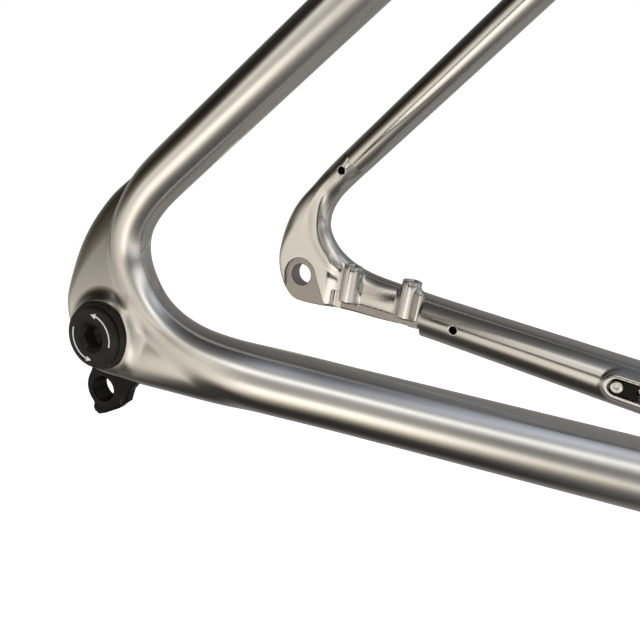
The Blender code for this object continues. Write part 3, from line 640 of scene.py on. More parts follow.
# Rear and lower edge of the web, from inside the seatstay to inside the chainstay: forward and up.
WEB_EDGE = [
    (49.0, 79.0), (37.0, 71.4), (26.0, 65.0), (17.0, 59.6), (8.6, 53.2), (1.0, 46.8), (-5.8, 39.6),
    (-11.6, 30.6), (-15.8, 19.6), (-17.8, 8.0), (-17.6, -1.0), (-15.0, -9.0), (-9.0, -15.2), (-1.0, -17.6),
    (9.0, -18.4), (20.0, -18.9), (32.0, -19.4), (47.0, -19.8), (62.0, -20.2), (80.0, -20.4), (98.0, -20.6),
]
WEB_OUTSIDE, WEB_LEAN = 83.0, 0.165
PAD_FACE, PAD_FOOT, PAD_RADIUS, PAD_FLARE = 84.0, 78.0, 12.7, 0.8
RECESS_DEPTH, RECESS_RADIUS = 2.5, 9.6
# How far the web's edge lies inside the drawn one, by side: behind and below.
WEB_INSET = {1: (1.9, 3.6), -1: (-2.4, 1.5)}
INSIDE = {1: 69.0, -1: 72.0}
POCKET_FLOOR, POCKET_RADIUS, AXLE_RADIUS = 71.0, 9.7, 6.05
HANGER_SEAT, HANGER_SEAT_MIDDLE, HANGER_SEAT_RADIUS, BARREL_HOLE = 75.8, (-8.0, -12.0), 36.0, 8.5
BOSS_SPREAD, BOSS_SPACING, BOSS_FIRST, BOSS_TOP = 68.4, 34.0, 33.6, 7.8
BOSS_RADIUS, BOSS_BORE, BOSS_LENGTH, BOSS_HOLE, BOSS_HOLE_DEPTH = 5.2, 2.6, 20.9, 3.3, 19.0
# The brake mount's flat, the deeper cut under it and the notch behind it: the plane that each ends at, and
# its span along the left chainstay.
BRAKE_FLAT, BRAKE_FLAT_SPAN = 67.0, (24.0, 74.5)
BRAKE_CUT, BRAKE_CUT_SPAN = 71.3, (21.0, 76.8)
NOTCH, NOTCH_SPAN = 75.0, (20.6, 26.6)
SEATSTAY_VENT_AT, CHAINSTAY_VENT_AT = -3.2, 93.5
FINE_OVERLAP = 2.0  # how far a casting's field goes on past its seams


def rib_curve(side):
    bent = np.array(RIB[side])
    seat = [(*seatstay_at(a), SEATSTAY_RADIUS) for a in (44, 30, 16, 2, -12)]
    chain = [(*chainstay_at(f), CHAINSTAY_RADIUS) for f in (68, 84, 100, 116, 132)]
    every = np.array([*seat, *bent, *chain])
    # A B-spline cuts corners, so the bent points move out by what it would cut.
    first, last = len(seat), len(seat) + len(bent)
    cut = (every[first - 1:last - 1] - 2 * every[first:last] + every[first + 1:last + 1]) / 6
    every[first:last, :3] -= cut[:, :3]
    return Curve(every, 3)


def foot_curve():
    chain = [(*chainstay_at(f), CHAINSTAY_RADIUS) for f in (66, 84, 100, 116, 132)]
    return Curve(np.array([*FOOT, *chain]), 3)


def boss_tops():
    first = np.array([BOSS_FIRST, BOSS_SPREAD, BOSS_TOP])
    return [first, first + STAY_WAY_SIDE * BOSS_SPACING]


def pocket_outline():
    """A keyhole round the axle, open at the bottom: forward and up."""
    arc = [(POCKET_RADIUS * math.cos(a), POCKET_RADIUS * math.sin(a))
           for a in np.radians(np.linspace(20, 184, 24))]
    return [(18.6, -26.0), *arc, (-10.6, -26.0)]


class Casting:
    """The distance field of one dropout with its bit of each stay, as (forward, outward, up)."""

    def __init__(self, side):
        self.side = side
        self.core, self.foot, self.edge = rib_curve(side), foot_curve(), Curve(np.array(WEB_EDGE), 2)
        stations = np.linspace(0, self.core.spans, 400)
        self.along_table = stations, distances_along(self.core.at(stations)[0][:, :3])
        self.chain_seam_along = self.along(np.array([chainstay_at(CHAIN_SEAM)]))[0]

    def along(self, p):
        """The distance along the stays' common centre line."""
        return np.interp(self.core.nearest(p), *self.along_table)

    def inner_face(self, z):
        """Where the inner face lies. It moves inwards to meet the seatstay."""
        return INSIDE[self.side] - 3.5 * smooth_step((z - 26) / 30)

    def web(self, p, centre, slope):
        """A plate between the core's centre line and the rear edge, leaning in with the seatstay."""
        x, s, z = p.T
        size = np.hypot(slope[:, 0], slope[:, 2])
        crotch = ((x - centre[:, 0]) * -slope[:, 2] + (z - centre[:, 2]) * slope[:, 0]) / size
        flat = p[:, [0, 2]]
        rear = self.edge.at(self.edge.nearest(flat))
        gap, way = flat - rear[0], rear[1]
        behind = (gap[:, 0] * way[:, 1] - gap[:, 1] * way[:, 0]) / lengths(way)
        low = smooth_step((14 - z) / 26)
        inset_behind, inset_below = WEB_INSET[self.side]
        inset = inset_behind * (1 - low) + inset_below * low
        # It fades out up the seatstay and along the chainstay.
        inset = inset * (1 - smooth_step((z - 47) / 18)) * (1 - smooth_step((x - 22) / 40))
        outline = np.maximum(behind + inset, crotch - 2.5)
        lean = WEB_LEAN * (np.hypot(z - 8, 6) + z - 8) / 2
        outer, inner = WEB_OUTSIDE - lean, self.inner_face(z)
        fade = smooth_step((x - 14) / 46)
        half = (outer - inner) / 2 * (1 - 0.45 * fade)
        off = s - (outer + inner) / 2 * (1 - fade) - centre[:, 1] * fade
        edge = 4 + 9 * smooth_step((z - 8) / 38)
        u, v = np.clip(outline + edge, 0, None) / edge, np.abs(off) / half
        return (np.sqrt(u * u + v * v) - 1) * np.minimum(edge, half)

    def __call__(self, p):
        x, s, z = p.T
        centre, slope, _ = self.core.at(self.core.nearest(p))
        rib = lengths(p - centre[:, :3]) - centre[:, 3]
        low = self.foot.at(self.foot.nearest(p))[0]
        foot = lengths(p - low[:, :3]) - low[:, 3]
        broad = 1 + 5 * (1 - smooth_step((x - 36) / 48))
        body = soft_union(self.web(p, centre, slope), foot, broad)
        body = soft_all(0.8, body, self.inner_face(z) - s - 40 * smooth_step((x - 22) / 60))
        flank = (np.hypot(x, z) - PAD_RADIUS - PAD_FLARE * (PAD_FACE - s)) / 1.28
        pad = soft_all(1.2, flank, s - PAD_FACE, PAD_FOOT - s)
        cove = 0.1 + 1.9 * (1 - smooth_step((x - 50) / 40)) * (1 - smooth_step((z - 48) / 14))
        body = soft_union(body, rib, cove)
        body = soft_union(body, pad, 2.0 + 3.0 * smooth_step((x - 5) / 8))
        body = self.left_cuts(body, p) if self.side > 0 else self.right_cuts(body, p)
        for place in (seatstay_at(SEATSTAY_VENT_AT), chainstay_at(CHAINSTAY_VENT_AT)):
            vent = np.hypot(x - place[0], z - place[2]) - VENT_RADIUS
            body = soft_cut(body, np.maximum(vent, s - place[1]), 0.5)
        return np.maximum(body, self.past_seams(p) - FINE_OVERLAP)

    def past_seams(self, p):
        """How far each point lies past the seam with the nearer stay."""
        seat, chain = seatstay_at(SEAT_SEAM), chainstay_at(CHAIN_SEAM)
        seat_way = unit(seatstay_at(1) - seatstay_at(0))
        chain_way = unit(chainstay_at(101) - chainstay_at(100))
        above = np.minimum((p - seat) @ seat_way, p[:, 2] - 20)
        return np.maximum(above, (p - chain) @ chain_way)

    def right_cuts(self, body, p):
        """A round seat for the hanger on the inner side, and the hole for its barrel."""
        x, s, z = p.T
        from_middle = np.hypot(x - HANGER_SEAT_MIDDLE[0], z - HANGER_SEAT_MIDDLE[1])
        body = soft_cut(body, np.maximum(from_middle - HANGER_SEAT_RADIUS, s - HANGER_SEAT), 0.6)
        return soft_cut(body, np.hypot(x, z) - BARREL_HOLE, 0.5)

    def left_cuts(self, body, p):
        """The hub's keyhole pocket, the axle hole and its recess, and the milled brake mount."""
        x, s, z = p.T
        pocket = np.maximum(polygon_distance(x, z, pocket_outline()), s - POCKET_FLOOR)
        body = soft_cut(body, pocket, 0.4)
        body = soft_cut(body, np.hypot(x, z) - AXLE_RADIUS, 0.5)
        body = soft_cut(body, np.maximum(np.hypot(x, z) - RECESS_RADIUS, PAD_FACE - RECESS_DEPTH - s), 0.5)
        along = (x * STAY_WAY_SIDE[0]) + (z - CHAINSTAY_HEIGHT) * STAY_WAY_SIDE[2]
        up = (x * STAY_UP[0]) + (z - CHAINSTAY_HEIGHT) * STAY_UP[2]
        flat = soft_all(5.0, BRAKE_FLAT_SPAN[0] - along, along - BRAKE_FLAT_SPAN[1], s - BRAKE_FLAT)
        body = soft_cut(body, np.maximum(flat, -16 - up), 2.0 + 7.0 * smooth_step((73 - along) / 8))
        milled = soft_all(0.8, BRAKE_CUT_SPAN[0] - along, along - BRAKE_CUT_SPAN[1], up + 5.2, s - BRAKE_CUT)
        body = soft_cut(body, milled, 0.5)
        notch = soft_all(0.8, NOTCH_SPAN[0] - along, along - NOTCH_SPAN[1], up + 1.6, -12 - up, s - NOTCH)
        body = soft_cut(body, notch, 0.5)
        for top in boss_tops():
            off = p - top
            rise, radial = off @ STAY_UP, lengths(aside(off, STAY_UP))
            post = soft_all(1.6, radial - BOSS_RADIUS, -BOSS_LENGTH - rise)
            body = soft_union(body, np.maximum(post, rise + 3.0), 2.4)
            body = soft_cut(body, np.maximum(radial - BOSS_HOLE, -BOSS_HOLE_DEPTH - rise), 0.1)
        return body


def vent_shade_faces(centres):
    """Faces inside the vent holes, past their bright rims, which take a near-black finish as painted shade.
    """
    found = np.zeros(len(centres), bool)
    for place, radius in ((seatstay_at(SEATSTAY_VENT_AT), SEATSTAY_RADIUS),
                          (chainstay_at(CHAINSTAY_VENT_AT), CHAINSTAY_RADIUS)):
        x, _, z = (centres - place).T
        deep = lengths(centres - place) < radius - 0.7
        found |= deep & (np.hypot(x, z) < VENT_RADIUS + 0.2)
    return found


def machined_faces(side, centres, faces):
    """Faces left by the mill: the pad, the bore and, by side, the hanger's seat or the recess, the pocket and
    the brake mount's cuts."""
    x, s, z = centres.T
    flat, close = 0.97, 0.12
    across, inward = np.abs(faces[:, 1]) > flat, faces[:, 1] < -flat
    from_axle = np.hypot(x, z)
    found = across & (np.abs(s - PAD_FACE) < close) & (from_axle < PAD_RADIUS)
    if side < 0:
        return found | (inward & (np.abs(s - HANGER_SEAT) < close)) | (from_axle < BARREL_HOLE + 0.6)
    found |= across & (np.abs(s - (PAD_FACE - RECESS_DEPTH)) < close) & (from_axle < RECESS_RADIUS + 0.4)
    found |= from_axle < AXLE_RADIUS + 0.6
    found |= (polygon_distance(x, z, pocket_outline()) < 0.4) & (s < POCKET_FLOOR + close)
    return found | (inward & (x > 20) & (x < 80) & (z < -5) & (s > BRAKE_CUT - close) & (s < 73.1))


def make_casting(name, side, stands_for):
    casting = Casting(side)
    step = 0.62
    points, quads = contour(casting, (-21.0, 47.0, -33.0), (108.0, 89.0, 76.0), step)
    quads = quads[(casting.past_seams(points) < 0)[quads].any(1)]
    normals = corner_normals(casting, points, quads)
    corners = points[quads]
    centres = corners.mean(1)
    finish = np.zeros(len(quads), np.int32)
    finish[machined_faces(side, centres, face_normals(corners))] = 1
    # The faces inside the vent holes get painted shade.
    finish[vent_shade_faces(centres)] = 2
    if side < 0:
        quads, normals = mirrored(quads, normals)
    obj = add_mesh(name, on_side(points, side), quads, (METAL, MACHINED, PAINTED_SHADE_BORE), stands_for=stands_for,
                   slot="cast_dropout")
    set_along(obj, casting.along(points))
    obj.data.polygons.foreach_set("material_index", finish)
    set_normals(obj, normals)
    return casting


# ---- tubes


def pipe_rings(points, radii, sides):
    """Rings round a path, shaped (rings, sides, 3), with a radius for each."""
    way = units(np.gradient(points, axis=0))
    start = (0.0, 1.0, 0.0) if abs(way[0][1]) < 0.9 else (1.0, 0.0, 0.0)
    normal = unit(np.cross(way[0], start))
    turn = np.linspace(0, 2 * math.pi, sides, endpoint=False)[:, None]
    rings = []
    for centre, t, r in zip(points, way, radii):
        normal = unit(normal - t * (normal @ t))
        rings.append(centre + r * (np.cos(turn) * normal + np.sin(turn) * np.cross(t, normal)))
    return np.array(rings)


def trim(rings, start, end):
    """Each line of a tube's skin, cut where it enters what it meets at either end. start and end are distance
    functions, negative inside, or None. Also gives where each new point was, in rings from the first."""
    count, sides = rings.shape[:2]
    low, high = np.zeros(sides), np.full(sides, count - 1.001)
    for column in range(sides):
        line = rings[:, column]
        if start:
            away = start(line)
            last = np.nonzero(away < 0)[0][-1]
            low[column] = last + away[last] / (away[last] - away[last + 1])
        if end:
            away = end(line)
            inside = np.nonzero(away < 0)[0]
            first = inside[inside > count / 2][0]
            high[column] = first - 1 + away[first - 1] / (away[first - 1] - away[first])
    place = low + np.linspace(0, 1, count)[:, None] * (high - low)
    index = place.astype(int)
    part = (place - index)[:, :, None]
    columns = np.arange(sides)
    return rings[index, columns] * (1 - part) + rings[index + 1, columns] * part, place


def ring_faces(rows, sides, closed=False):
    """Quads between rows of points that each go once round."""
    faces = []
    for row in range(rows if closed else rows - 1):
        a, b = row * sides, (row + 1) % rows * sides
        faces += [(a + i, a + (i + 1) % sides, b + (i + 1) % sides, b + i) for i in range(sides)]
    return faces


def make_tube(name, points, radius, wall, stands_for=(), start=None, end=None, along_from=0.0, sides=72,
              finish=METAL, slip=(0, 0)):
    """A hollow tube with mitred ends. slip sinks the first or last rings by a hair, where the tube runs on
    under the casting beside it. Returns the object and its two outer end loops."""
    points = np.array(points, float)
    radii = np.full(len(points), float(radius))
    for where, sunk in zip((slice(0, 2), slice(-2, None)), slip):
        radii[where] -= sunk
    outer, place = trim(pipe_rings(points, radii, sides), start, end)
    inner, _ = trim(pipe_rings(points, radii - wall, sides), start, end)
    rows = np.concatenate([outer, inner[::-1]])
    along = along_from + np.interp(place, np.arange(len(points)), distances_along(points))
    faces = ring_faces(len(rows), sides, closed=True)
    obj = add_mesh(name, rows.reshape(-1, 3), faces, (finish,), stands_for=stands_for)
    set_along(obj, np.concatenate([along, along[::-1]]).ravel())
    sharpen(obj.data, 35)
    return obj, outer[0], outer[-1]


def cylinder_distance(base, way, radius):
    base, way = np.array(base, float), unit(way)
    return lambda p: lengths(aside(p - base, way)) - radius


def nearest_of(*distances):
    return lambda p: np.min([distance(p) for distance in distances], axis=0)


SHELL_SKIN = cylinder_distance((0, 0, 0), (0, 1, 0), SHELL_RADIUS)
SEAT_SKIN = cylinder_distance((0, 0, 0), SEAT_WAY, SEAT_RADIUS)


def smooth_closed(loop, spacing):
    """A closed loop of points spaced evenly along it."""
    closed = np.vstack([loop, loop[:1]])
    steps = distances_along(closed)
    count = int(steps[-1] / spacing)
    at = np.linspace(0, steps[-1], count, endpoint=False)
    return np.stack([np.interp(at, steps, closed[:, i]) for i in range(3)], 1), steps[-1]


def make_weld(name, loop, axis_point, axis_way, radius):
    """A bead along the loop where a tube meets its neighbour, laid in overlapping ripples."""
    sides, pitch = 16, 1.5
    points, length = smooth_closed(loop, 0.3)
    outward = units(aside(points - axis_point, unit(axis_way)))
    way = units(np.roll(points, -1, axis=0) - np.roll(points, 1, axis=0))
    across = np.cross(way, outward)
    ripples = round(length / pitch)
    turn = np.linspace(0, 2 * math.pi, sides, endpoint=False)
    rows = []
    for i, centre in enumerate(points):
        phase = ripples * i / len(points) + 0.35 * np.cos(turn)
        height = radius * (0.93 + 0.12 * np.abs(np.sin(math.pi * phase)))[:, None]
        around = np.cos(turn)[:, None] * outward[i] + np.sin(turn)[:, None] * across[i]
        rows.append(centre + height * around)
    add_mesh(name, np.concatenate(rows), ring_faces(len(rows), sides, closed=True), (WELD,))


def straight(a, b, spacing=4.0):
    count = max(int(np.linalg.norm(np.array(b) - a) / spacing), 8)
    return np.linspace(a, b, count)


STAY_OVERLAP, SUNK, RING_SPACING = 1.2, 0.02, 3.0
CHAINSTAY_END, SEATSTAY_END = 408.0, 366.0


def make_stays(castings):
    """The stays forward of the castings, with even brush lines, and the bridges between them. The left
    chainstay is in two parts, with the cable port's piece of skin between them."""
    for side, name, port_cuts in ((-1, "right", ()), (1, "left", (PORT_FROM, PORT_TO))):
        seam = castings[side].chain_seam_along
        cuts = [CHAIN_SEAM, *port_cuts, CHAINSTAY_END]
        labels = ("_rear", "_front") if port_cuts else ("",)
        for label, near, far in zip(labels, cuts[::2], cuts[1::2]):
            last = far == CHAINSTAY_END
            places = np.arange(near - STAY_OVERLAP, far + 1.1, RING_SPACING)
            places[-1] = far + (0 if last else STAY_OVERLAP)
            foot = make_tube(
                f"{name}_chainstay_tube{label}", on_side([chainstay_at(f) for f in places], side),
                CHAINSTAY_RADIUS, STAY_WALL, [f"{name}_chainstay"], end=SHELL_SKIN if last else None,
                along_from=seam + near - STAY_OVERLAP - CHAIN_SEAM, slip=(SUNK, 0 if last else SUNK))[2]
            if last:
                make_weld(f"{name}_chainstay_weld", foot, on_side(chainstay_at(398), side),
                          stay_way(chainstay_at, 398, side, 2), 2.1)
        places = np.arange(SEAT_SEAM - STAY_OVERLAP, SEATSTAY_END, RING_SPACING)
        head = make_tube(
            f"{name}_seatstay_tube", on_side([seatstay_at(a) for a in places], side), SEATSTAY_RADIUS,
            STAY_WALL, [f"{name}_seatstay"], end=SEAT_SKIN, slip=(SUNK, 0), along_from=-STAY_OVERLAP)[2]
        make_weld(f"{name}_seatstay_weld", head, on_side(seatstay_at(348), side),
                  stay_way(seatstay_at, 348, side, 2), 1.8)
    for name, place, at, radius, host_radius in (
        ("seatstay_bridge", seatstay_at, 300.0, SEATSTAY_BRIDGE_RADIUS, SEATSTAY_RADIUS),
        ("chainstay_bridge", chainstay_at, 366.0, CHAINSTAY_BRIDGE_RADIUS, CHAINSTAY_RADIUS),
    ):
        right, left = on_side(place(at), -1), on_side(place(at), 1)
        hosts = [cylinder_distance(on_side(place(at), side), stay_way(place, at, side), host_radius)
                 for side in (-1, 1)]
        _, first, last = make_tube(f"{name}_tube", straight(right, left, 1.2), radius, STAY_WALL, [name],
                                   *hosts, sides=56)
        make_weld(f"{name}_weld_right", first, right, (0, 1, 0), 1.5)
        make_weld(f"{name}_weld_left", last, left, (0, 1, 0), 1.5)


def carve(obj, cutter):
    """Cuts one mesh out of a piece and throws the cutter away."""
    change = obj.modifiers.new("carve", "BOOLEAN")
    change.operation, change.solver, change.object = "DIFFERENCE", "EXACT", cutter
    bpy.context.view_layer.update()
    carved = bpy.data.meshes.new_from_object(obj.evaluated_get(bpy.context.evaluated_depsgraph_get()))
    obj.modifiers.clear()
    obj.data = carved
    sharpen(carved, 35)
    bpy.data.objects.remove(cutter)


def cutter_prism(outline, base, across, up, way, depth):
    """A flat outline's prism, to carve with."""
    across, up, way = unit(across), unit(up), unit(way)
    low = [np.array(base, float) + across * x + up * y for x, y in outline]
    points = np.array([*low, *(p + way * depth for p in low)])
    count = len(outline)
    faces = [tuple(range(count))[::-1], tuple(range(count, 2 * count)), *ring_faces(2, count)]
    mesh = bpy.data.meshes.new("cutter")
    mesh.from_pydata((points * MM).tolist(), [], faces)
    bm = bmesh.new()
    bm.from_mesh(mesh)
    bmesh.ops.recalc_face_normals(bm, faces=bm.faces)
    bm.to_mesh(mesh)
    bm.free()
    cutter = bpy.data.objects.new("cutter", mesh)
    bpy.context.scene.collection.objects.link(cutter)
    return cutter


def make_main_triangle():
    head = cylinder_distance(HEAD_FOOT, HEAD_WAY, HEAD_RADIUS)
    top_rear, top_front = SEAT_WAY * TOP_TUBE_ON_SEAT, HEAD_TOP - HEAD_WAY * TOP_TUBE_BELOW_HEAD
    down_front = HEAD_FOOT + HEAD_WAY * DOWN_TUBE_ABOVE_HEAD
    finish = titanium("brushed_titanium_seat_tube", SEAT_WAY)
    seat_top = SEAT_WAY * SEAT_TUBE_LENGTH
    tube, foot, _ = make_tube("seat_tube_fine", straight(np.zeros(3), seat_top, 3.0), SEAT_RADIUS, SEAT_WALL,
                              ["seat_tube"], start=SHELL_SKIN, sides=96, finish=finish)
    slot, slot_depth = [(-24, -1.2), (-5, -1.2), (-5, 1.2), (-24, 1.2)], 28.0
    carve(tube, cutter_prism(slot, SEAT_WAY * (SEAT_TUBE_LENGTH - slot_depth), np.cross((0, 1, 0), SEAT_WAY),
                             (0, 1, 0), SEAT_WAY, 40))
    make_weld("seat_tube_weld", foot, np.zeros(3), SEAT_WAY, 2.3)
    way = top_front - top_rear
    finish = titanium("brushed_titanium_top_tube", unit(way))
    _, rear, front = make_tube("top_tube_fine", straight(top_rear, top_front), TOP_RADIUS, MAIN_WALL,
                               ["top_tube"], SEAT_SKIN, head, sides=96, finish=finish)
    make_weld("top_tube_weld_rear", rear, top_rear, way, 2.2)
    make_weld("top_tube_weld_front", front, top_rear, way, 2.2)
    finish = titanium("brushed_titanium_down_tube", unit(down_front))
    top = cylinder_distance(top_rear, way, TOP_RADIUS)
    tube, rear, front = make_tube(
        "down_tube_fine", straight(np.zeros(3), down_front, 3.0), DOWN_RADIUS, MAIN_WALL, ["down_tube"],
        nearest_of(SHELL_SKIN, SEAT_SKIN), nearest_of(head, top), sides=112, finish=finish)
    make_weld("down_tube_weld_rear", rear, np.zeros(3), down_front, 2.4)
    make_weld("down_tube_weld_front", front, np.zeros(3), down_front, 2.4)
    return tube, unit(down_front)


# ---- turned pieces


def softened(profile, size):
    """An open outline with each inner corner turned into a short curve."""
    made = [profile[0]]
    for before, corner, after in zip(profile, profile[1:], profile[2:]):
        before, corner, after = (np.array(p, float) for p in (before, corner, after))
        a, b = before - corner, after - corner
        reach = min(size, np.linalg.norm(a) * 0.45, np.linalg.norm(b) * 0.45)
        start, end = corner + unit(a) * reach, corner + unit(b) * reach
        for t in (0, 0.25, 0.5, 0.75, 1):
            made.append(tuple((1 - t) ** 2 * start + 2 * t * (1 - t) * corner + t * t * end))
    made.append(profile[-1])
    return made


def make_turned(name, profile, base, way, finish, stands_for=(), sides=96, closed=True, body="frame",
                slot="brushed_titanium", across=(0.31, 0.17, 0.93)):
    """A lathe piece. The profile's rows are (radius, height), where a radius may also be a function of the
    angle. A closed profile is a ring; an open one is capped at both ends."""
    way = unit(way)
    one = unit(np.cross(way, across))
    two = np.cross(way, one)
    turn = np.linspace(0, 2 * math.pi, sides, endpoint=False)
    rows = []
    for radius, height in profile:
        reach = (radius(turn) if callable(radius) else np.full(sides, float(radius)))[:, None]
        rows.append(np.array(base, float) + way * height
                    + reach * (np.cos(turn)[:, None] * one + np.sin(turn)[:, None] * two))
    faces = ring_faces(len(rows), sides, closed=closed)
    if not closed:
        last = (len(rows) - 1) * sides
        faces += [tuple(range(sides))[::-1], tuple(range(last, last + sides))]
    obj = add_mesh(name, np.concatenate(rows), faces, (finish,), body, stands_for, slot)
    sharpen(obj.data, 32)
    return obj


def hexagon_radius(across_flats):
    """The reach of a hexagon at each angle."""
    sixth = math.pi / 3
    return lambda turn: across_flats / 2 / np.cos(np.mod(turn, sixth) - sixth / 2)


def star_radius(size):
    """The reach of a six-lobed key hole at each angle."""
    return lambda turn: size * (1 + 0.13 * np.cos(6 * turn))


M5_THREAD = (0.35, 0.8)  # depth and pitch


def thread_rows(bore, depth, pitch, low, high):
    """Profile rows of a helical thread inside a bore, whose crests stand at the bore's radius."""
    rows = []
    for height in np.arange(low, high, pitch / 5):
        phase = height / pitch
        rows.append((lambda turn, phase=phase: bore + depth * np.abs(
            2 * np.mod(phase - turn / (2 * math.pi), 1.0) - 1), height))
    return rows


def make_head_and_shell():
    ring, length = HEAD_RING_RADIUS, HEAD_LENGTH
    outside = softened([
        (HEAD_SEAT_BORE, 0), (ring, 0), (ring, HEAD_RING_LENGTH), (HEAD_RADIUS, HEAD_RING_LENGTH + 4),
        (HEAD_RADIUS, length - HEAD_RING_LENGTH - 4), (ring, length - HEAD_RING_LENGTH), (ring, length),
        (HEAD_SEAT_BORE, length), (HEAD_SEAT_BORE, length - HEAD_SEAT_DEPTH),
        (HEAD_BORE, length - HEAD_SEAT_DEPTH), (HEAD_BORE, HEAD_SEAT_DEPTH),
        (HEAD_SEAT_BORE, HEAD_SEAT_DEPTH)], 0.7)
    make_turned("head_tube_fine", outside, HEAD_FOOT, HEAD_WAY,
                titanium("brushed_titanium_head_tube", HEAD_WAY), ["head_tube"], 128)
    half = SHELL_HALF
    outside = softened([(SHELL_LIP, -half), (SHELL_RADIUS, -half), (SHELL_RADIUS, half), (SHELL_LIP, half),
                        (SHELL_BORE, half - 1.5)], 0.6)
    bore = [(SHELL_BORE, y) for y in np.linspace(half - 3, 3 - half, 8)]
    rows = [*outside, *bore, (SHELL_BORE, 1.5 - half)]
    make_turned("bottom_bracket_shell_fine", rows, (0, 0, 0), (0, 1, 0),
                titanium("brushed_titanium_shell", (0.0, 1.0, 0.0)), ["bottom_bracket_shell"], 128)


def make_screw(name, base, way, head, thick, shank, length, key):
    """A low screw with a rounded head and a six-lobed key hole."""
    crown = [(head * (0.76 + 0.24 * math.cos(a)), thick * (0.5 + 0.5 * math.sin(a)))
             for a in np.radians((20, 40, 60, 80, 90))]
    rows = [(shank * 0.7, -length), (shank, -length + 0.4), (shank, 0.0), (head, 0.0), (head, thick * 0.5),
            *crown, (star_radius(key * 1.12), thick), (star_radius(key), thick * 0.9),
            (star_radius(key), thick * 0.3), (key * 0.5, thick * 0.2)]
    make_turned(name, rows, base, way, STEEL, [name], 72, closed=False, slot="steel_fastener")


def make_brake_bosses():
    """The bosses' tops and threaded bores. Their sides below run into the casting."""
    for name, top in zip(("rear_brake_boss", "front_brake_boss"), boss_tops()):
        thread = thread_rows(BOSS_BORE, *M5_THREAD, -18.0, -0.9)
        rows = [*thread, (BOSS_BORE + 0.1, -0.8), (BOSS_BORE + 0.7, 0.0), (BOSS_RADIUS - 0.45, 0.0),
                (BOSS_RADIUS - 0.12, -0.14), (BOSS_RADIUS, -0.45), (BOSS_RADIUS, -3.02),
                (BOSS_BORE + 0.9, -3.02), (BOSS_BORE + 0.9, -18.2), (BOSS_BORE + 0.35, -18.2)]
        piece = make_turned(f"{name}_fine", rows, on_side(top, 1), STAY_UP, METAL, [name], 80)
        sharpen(piece.data, 40)


# ---- derailleur hanger

HANGER_HOLE = np.array((-9.2, -24.2))
HANGER_FACES, LOBE_INSIDE, LOBE_RADIUS, LOBE_HOLE, RING_RADIUS = (71.0, 75.5), 68.4, 7.9, 5.35, 13.2
BARREL_RADIUS, BARREL_BORE, BARREL_END = 8.2, 6.1, 83.4
WASHER_RADIUS, WASHER_THICK, BOLT_RADIUS, BOLT_THICK, GAP = 12.4, 2.4, 11.0, 1.8, 0.3
ARROW_RADIUS, ARROW_WIDTH = 8.3, 0.55
HANGER_SIDES = [(-13.0, 2.0), (-14.4, -15.0), (-16.8, -24.2), (-9.2, -31.0), (1.2, -28.2), (3.2, -23.4),
                (7.2, -19.4), (13.6, -16.4), (15.0, -12.0), (13.0, 1.0)]
HANGER_TAB = [(-15.6, -32.6), (-14.8, -34.4), (-12.8, -35.4), (-9.6, -34.4), (-3.2, -31.6), (1.2, -28.2),
              (-4.0, -25.0), (-13.0, -26.0)]


def hanger_field(p):
    x, s, z = p.T
    from_axle = np.hypot(x, z)
    from_hole = np.hypot(x - HANGER_HOLE[0], z - HANGER_HOLE[1])
    outline = soft_union(polygon_distance(x, z, HANGER_SIDES), polygon_distance(x, z, HANGER_TAB), 0.8)
    outline = soft_union(soft_union(outline, from_axle - RING_RADIUS, 1.0), from_hole - LOBE_RADIUS, 1.0)
    inside, outside = HANGER_FACES
    plate = soft_all(1.1, outline, s - outside, inside - s)
    lobe = soft_all(1.1, from_hole - LOBE_RADIUS, s - outside, LOBE_INSIDE - s)
    barrel = soft_all(0.6, from_axle - BARREL_RADIUS, s - BARREL_END, outside - 2 - s)
    body = soft_union(soft_union(plate, lobe, 1.2), barrel, 0.8)
    body = soft_cut(body, from_axle - BARREL_BORE, 0.5)
    return soft_cut(body, from_hole - LOBE_HOLE, 0.1)


def make_hanger():
    """The hanger with its barrel, and a threaded sleeve in the derailleur's hole."""
    points, quads = contour(hanger_field, (-20.0, 66.5, -38.0), (18.0, 85.5, 16.0), 0.36)
    quads, normals = mirrored(quads, corner_normals(hanger_field, points, quads))
    plate = add_mesh("derailleur_hanger_fine", on_side(points, -1), quads, (BLACK_SATIN,), "hanger",
                     ["derailleur_hanger"], "derailleur_hanger")
    set_normals(plate, normals)
    hole = on_side((HANGER_HOLE[0], HANGER_FACES[1] - 0.05, HANGER_HOLE[1]), -1)
    length, crest, depth, pitch, outside = HANGER_FACES[1] - LOBE_INSIDE - 0.1, 4.45, 0.62, 1.0, 5.6
    rows = [(crest + depth, 0.0), *thread_rows(crest, depth, pitch, 0.3, length - 0.3),
            (crest + depth, length), (outside, length), (outside, 0.0)]
    make_turned("hanger_thread", rows, hole, (0, 1, 0), BLACK_THREAD, sides=72, body="hanger",
                slot="derailleur_hanger")


def arrow_outline(start, end, radius, width):
    """A curved arrow: a thin arc round the origin with a head at its end. Angles are in degrees."""
    turn = np.radians(np.linspace(start, end, 26))
    sign = 1 if end > start else -1
    outer = [((radius + width / 2) * math.cos(a), (radius + width / 2) * math.sin(a)) for a in turn]
    inner = [((radius - width / 2) * math.cos(a), (radius - width / 2) * math.sin(a)) for a in turn[::-1]]
    tip = math.radians(end) + sign * 2.3 / radius
    barbs = [((radius + reach) * math.cos(turn[-1]), (radius + reach) * math.sin(turn[-1]))
             for reach in (width * 1.9, -width * 1.9)]
    return [*outer, barbs[0], (radius * math.cos(tip), radius * math.sin(tip)), barbs[1], *inner]


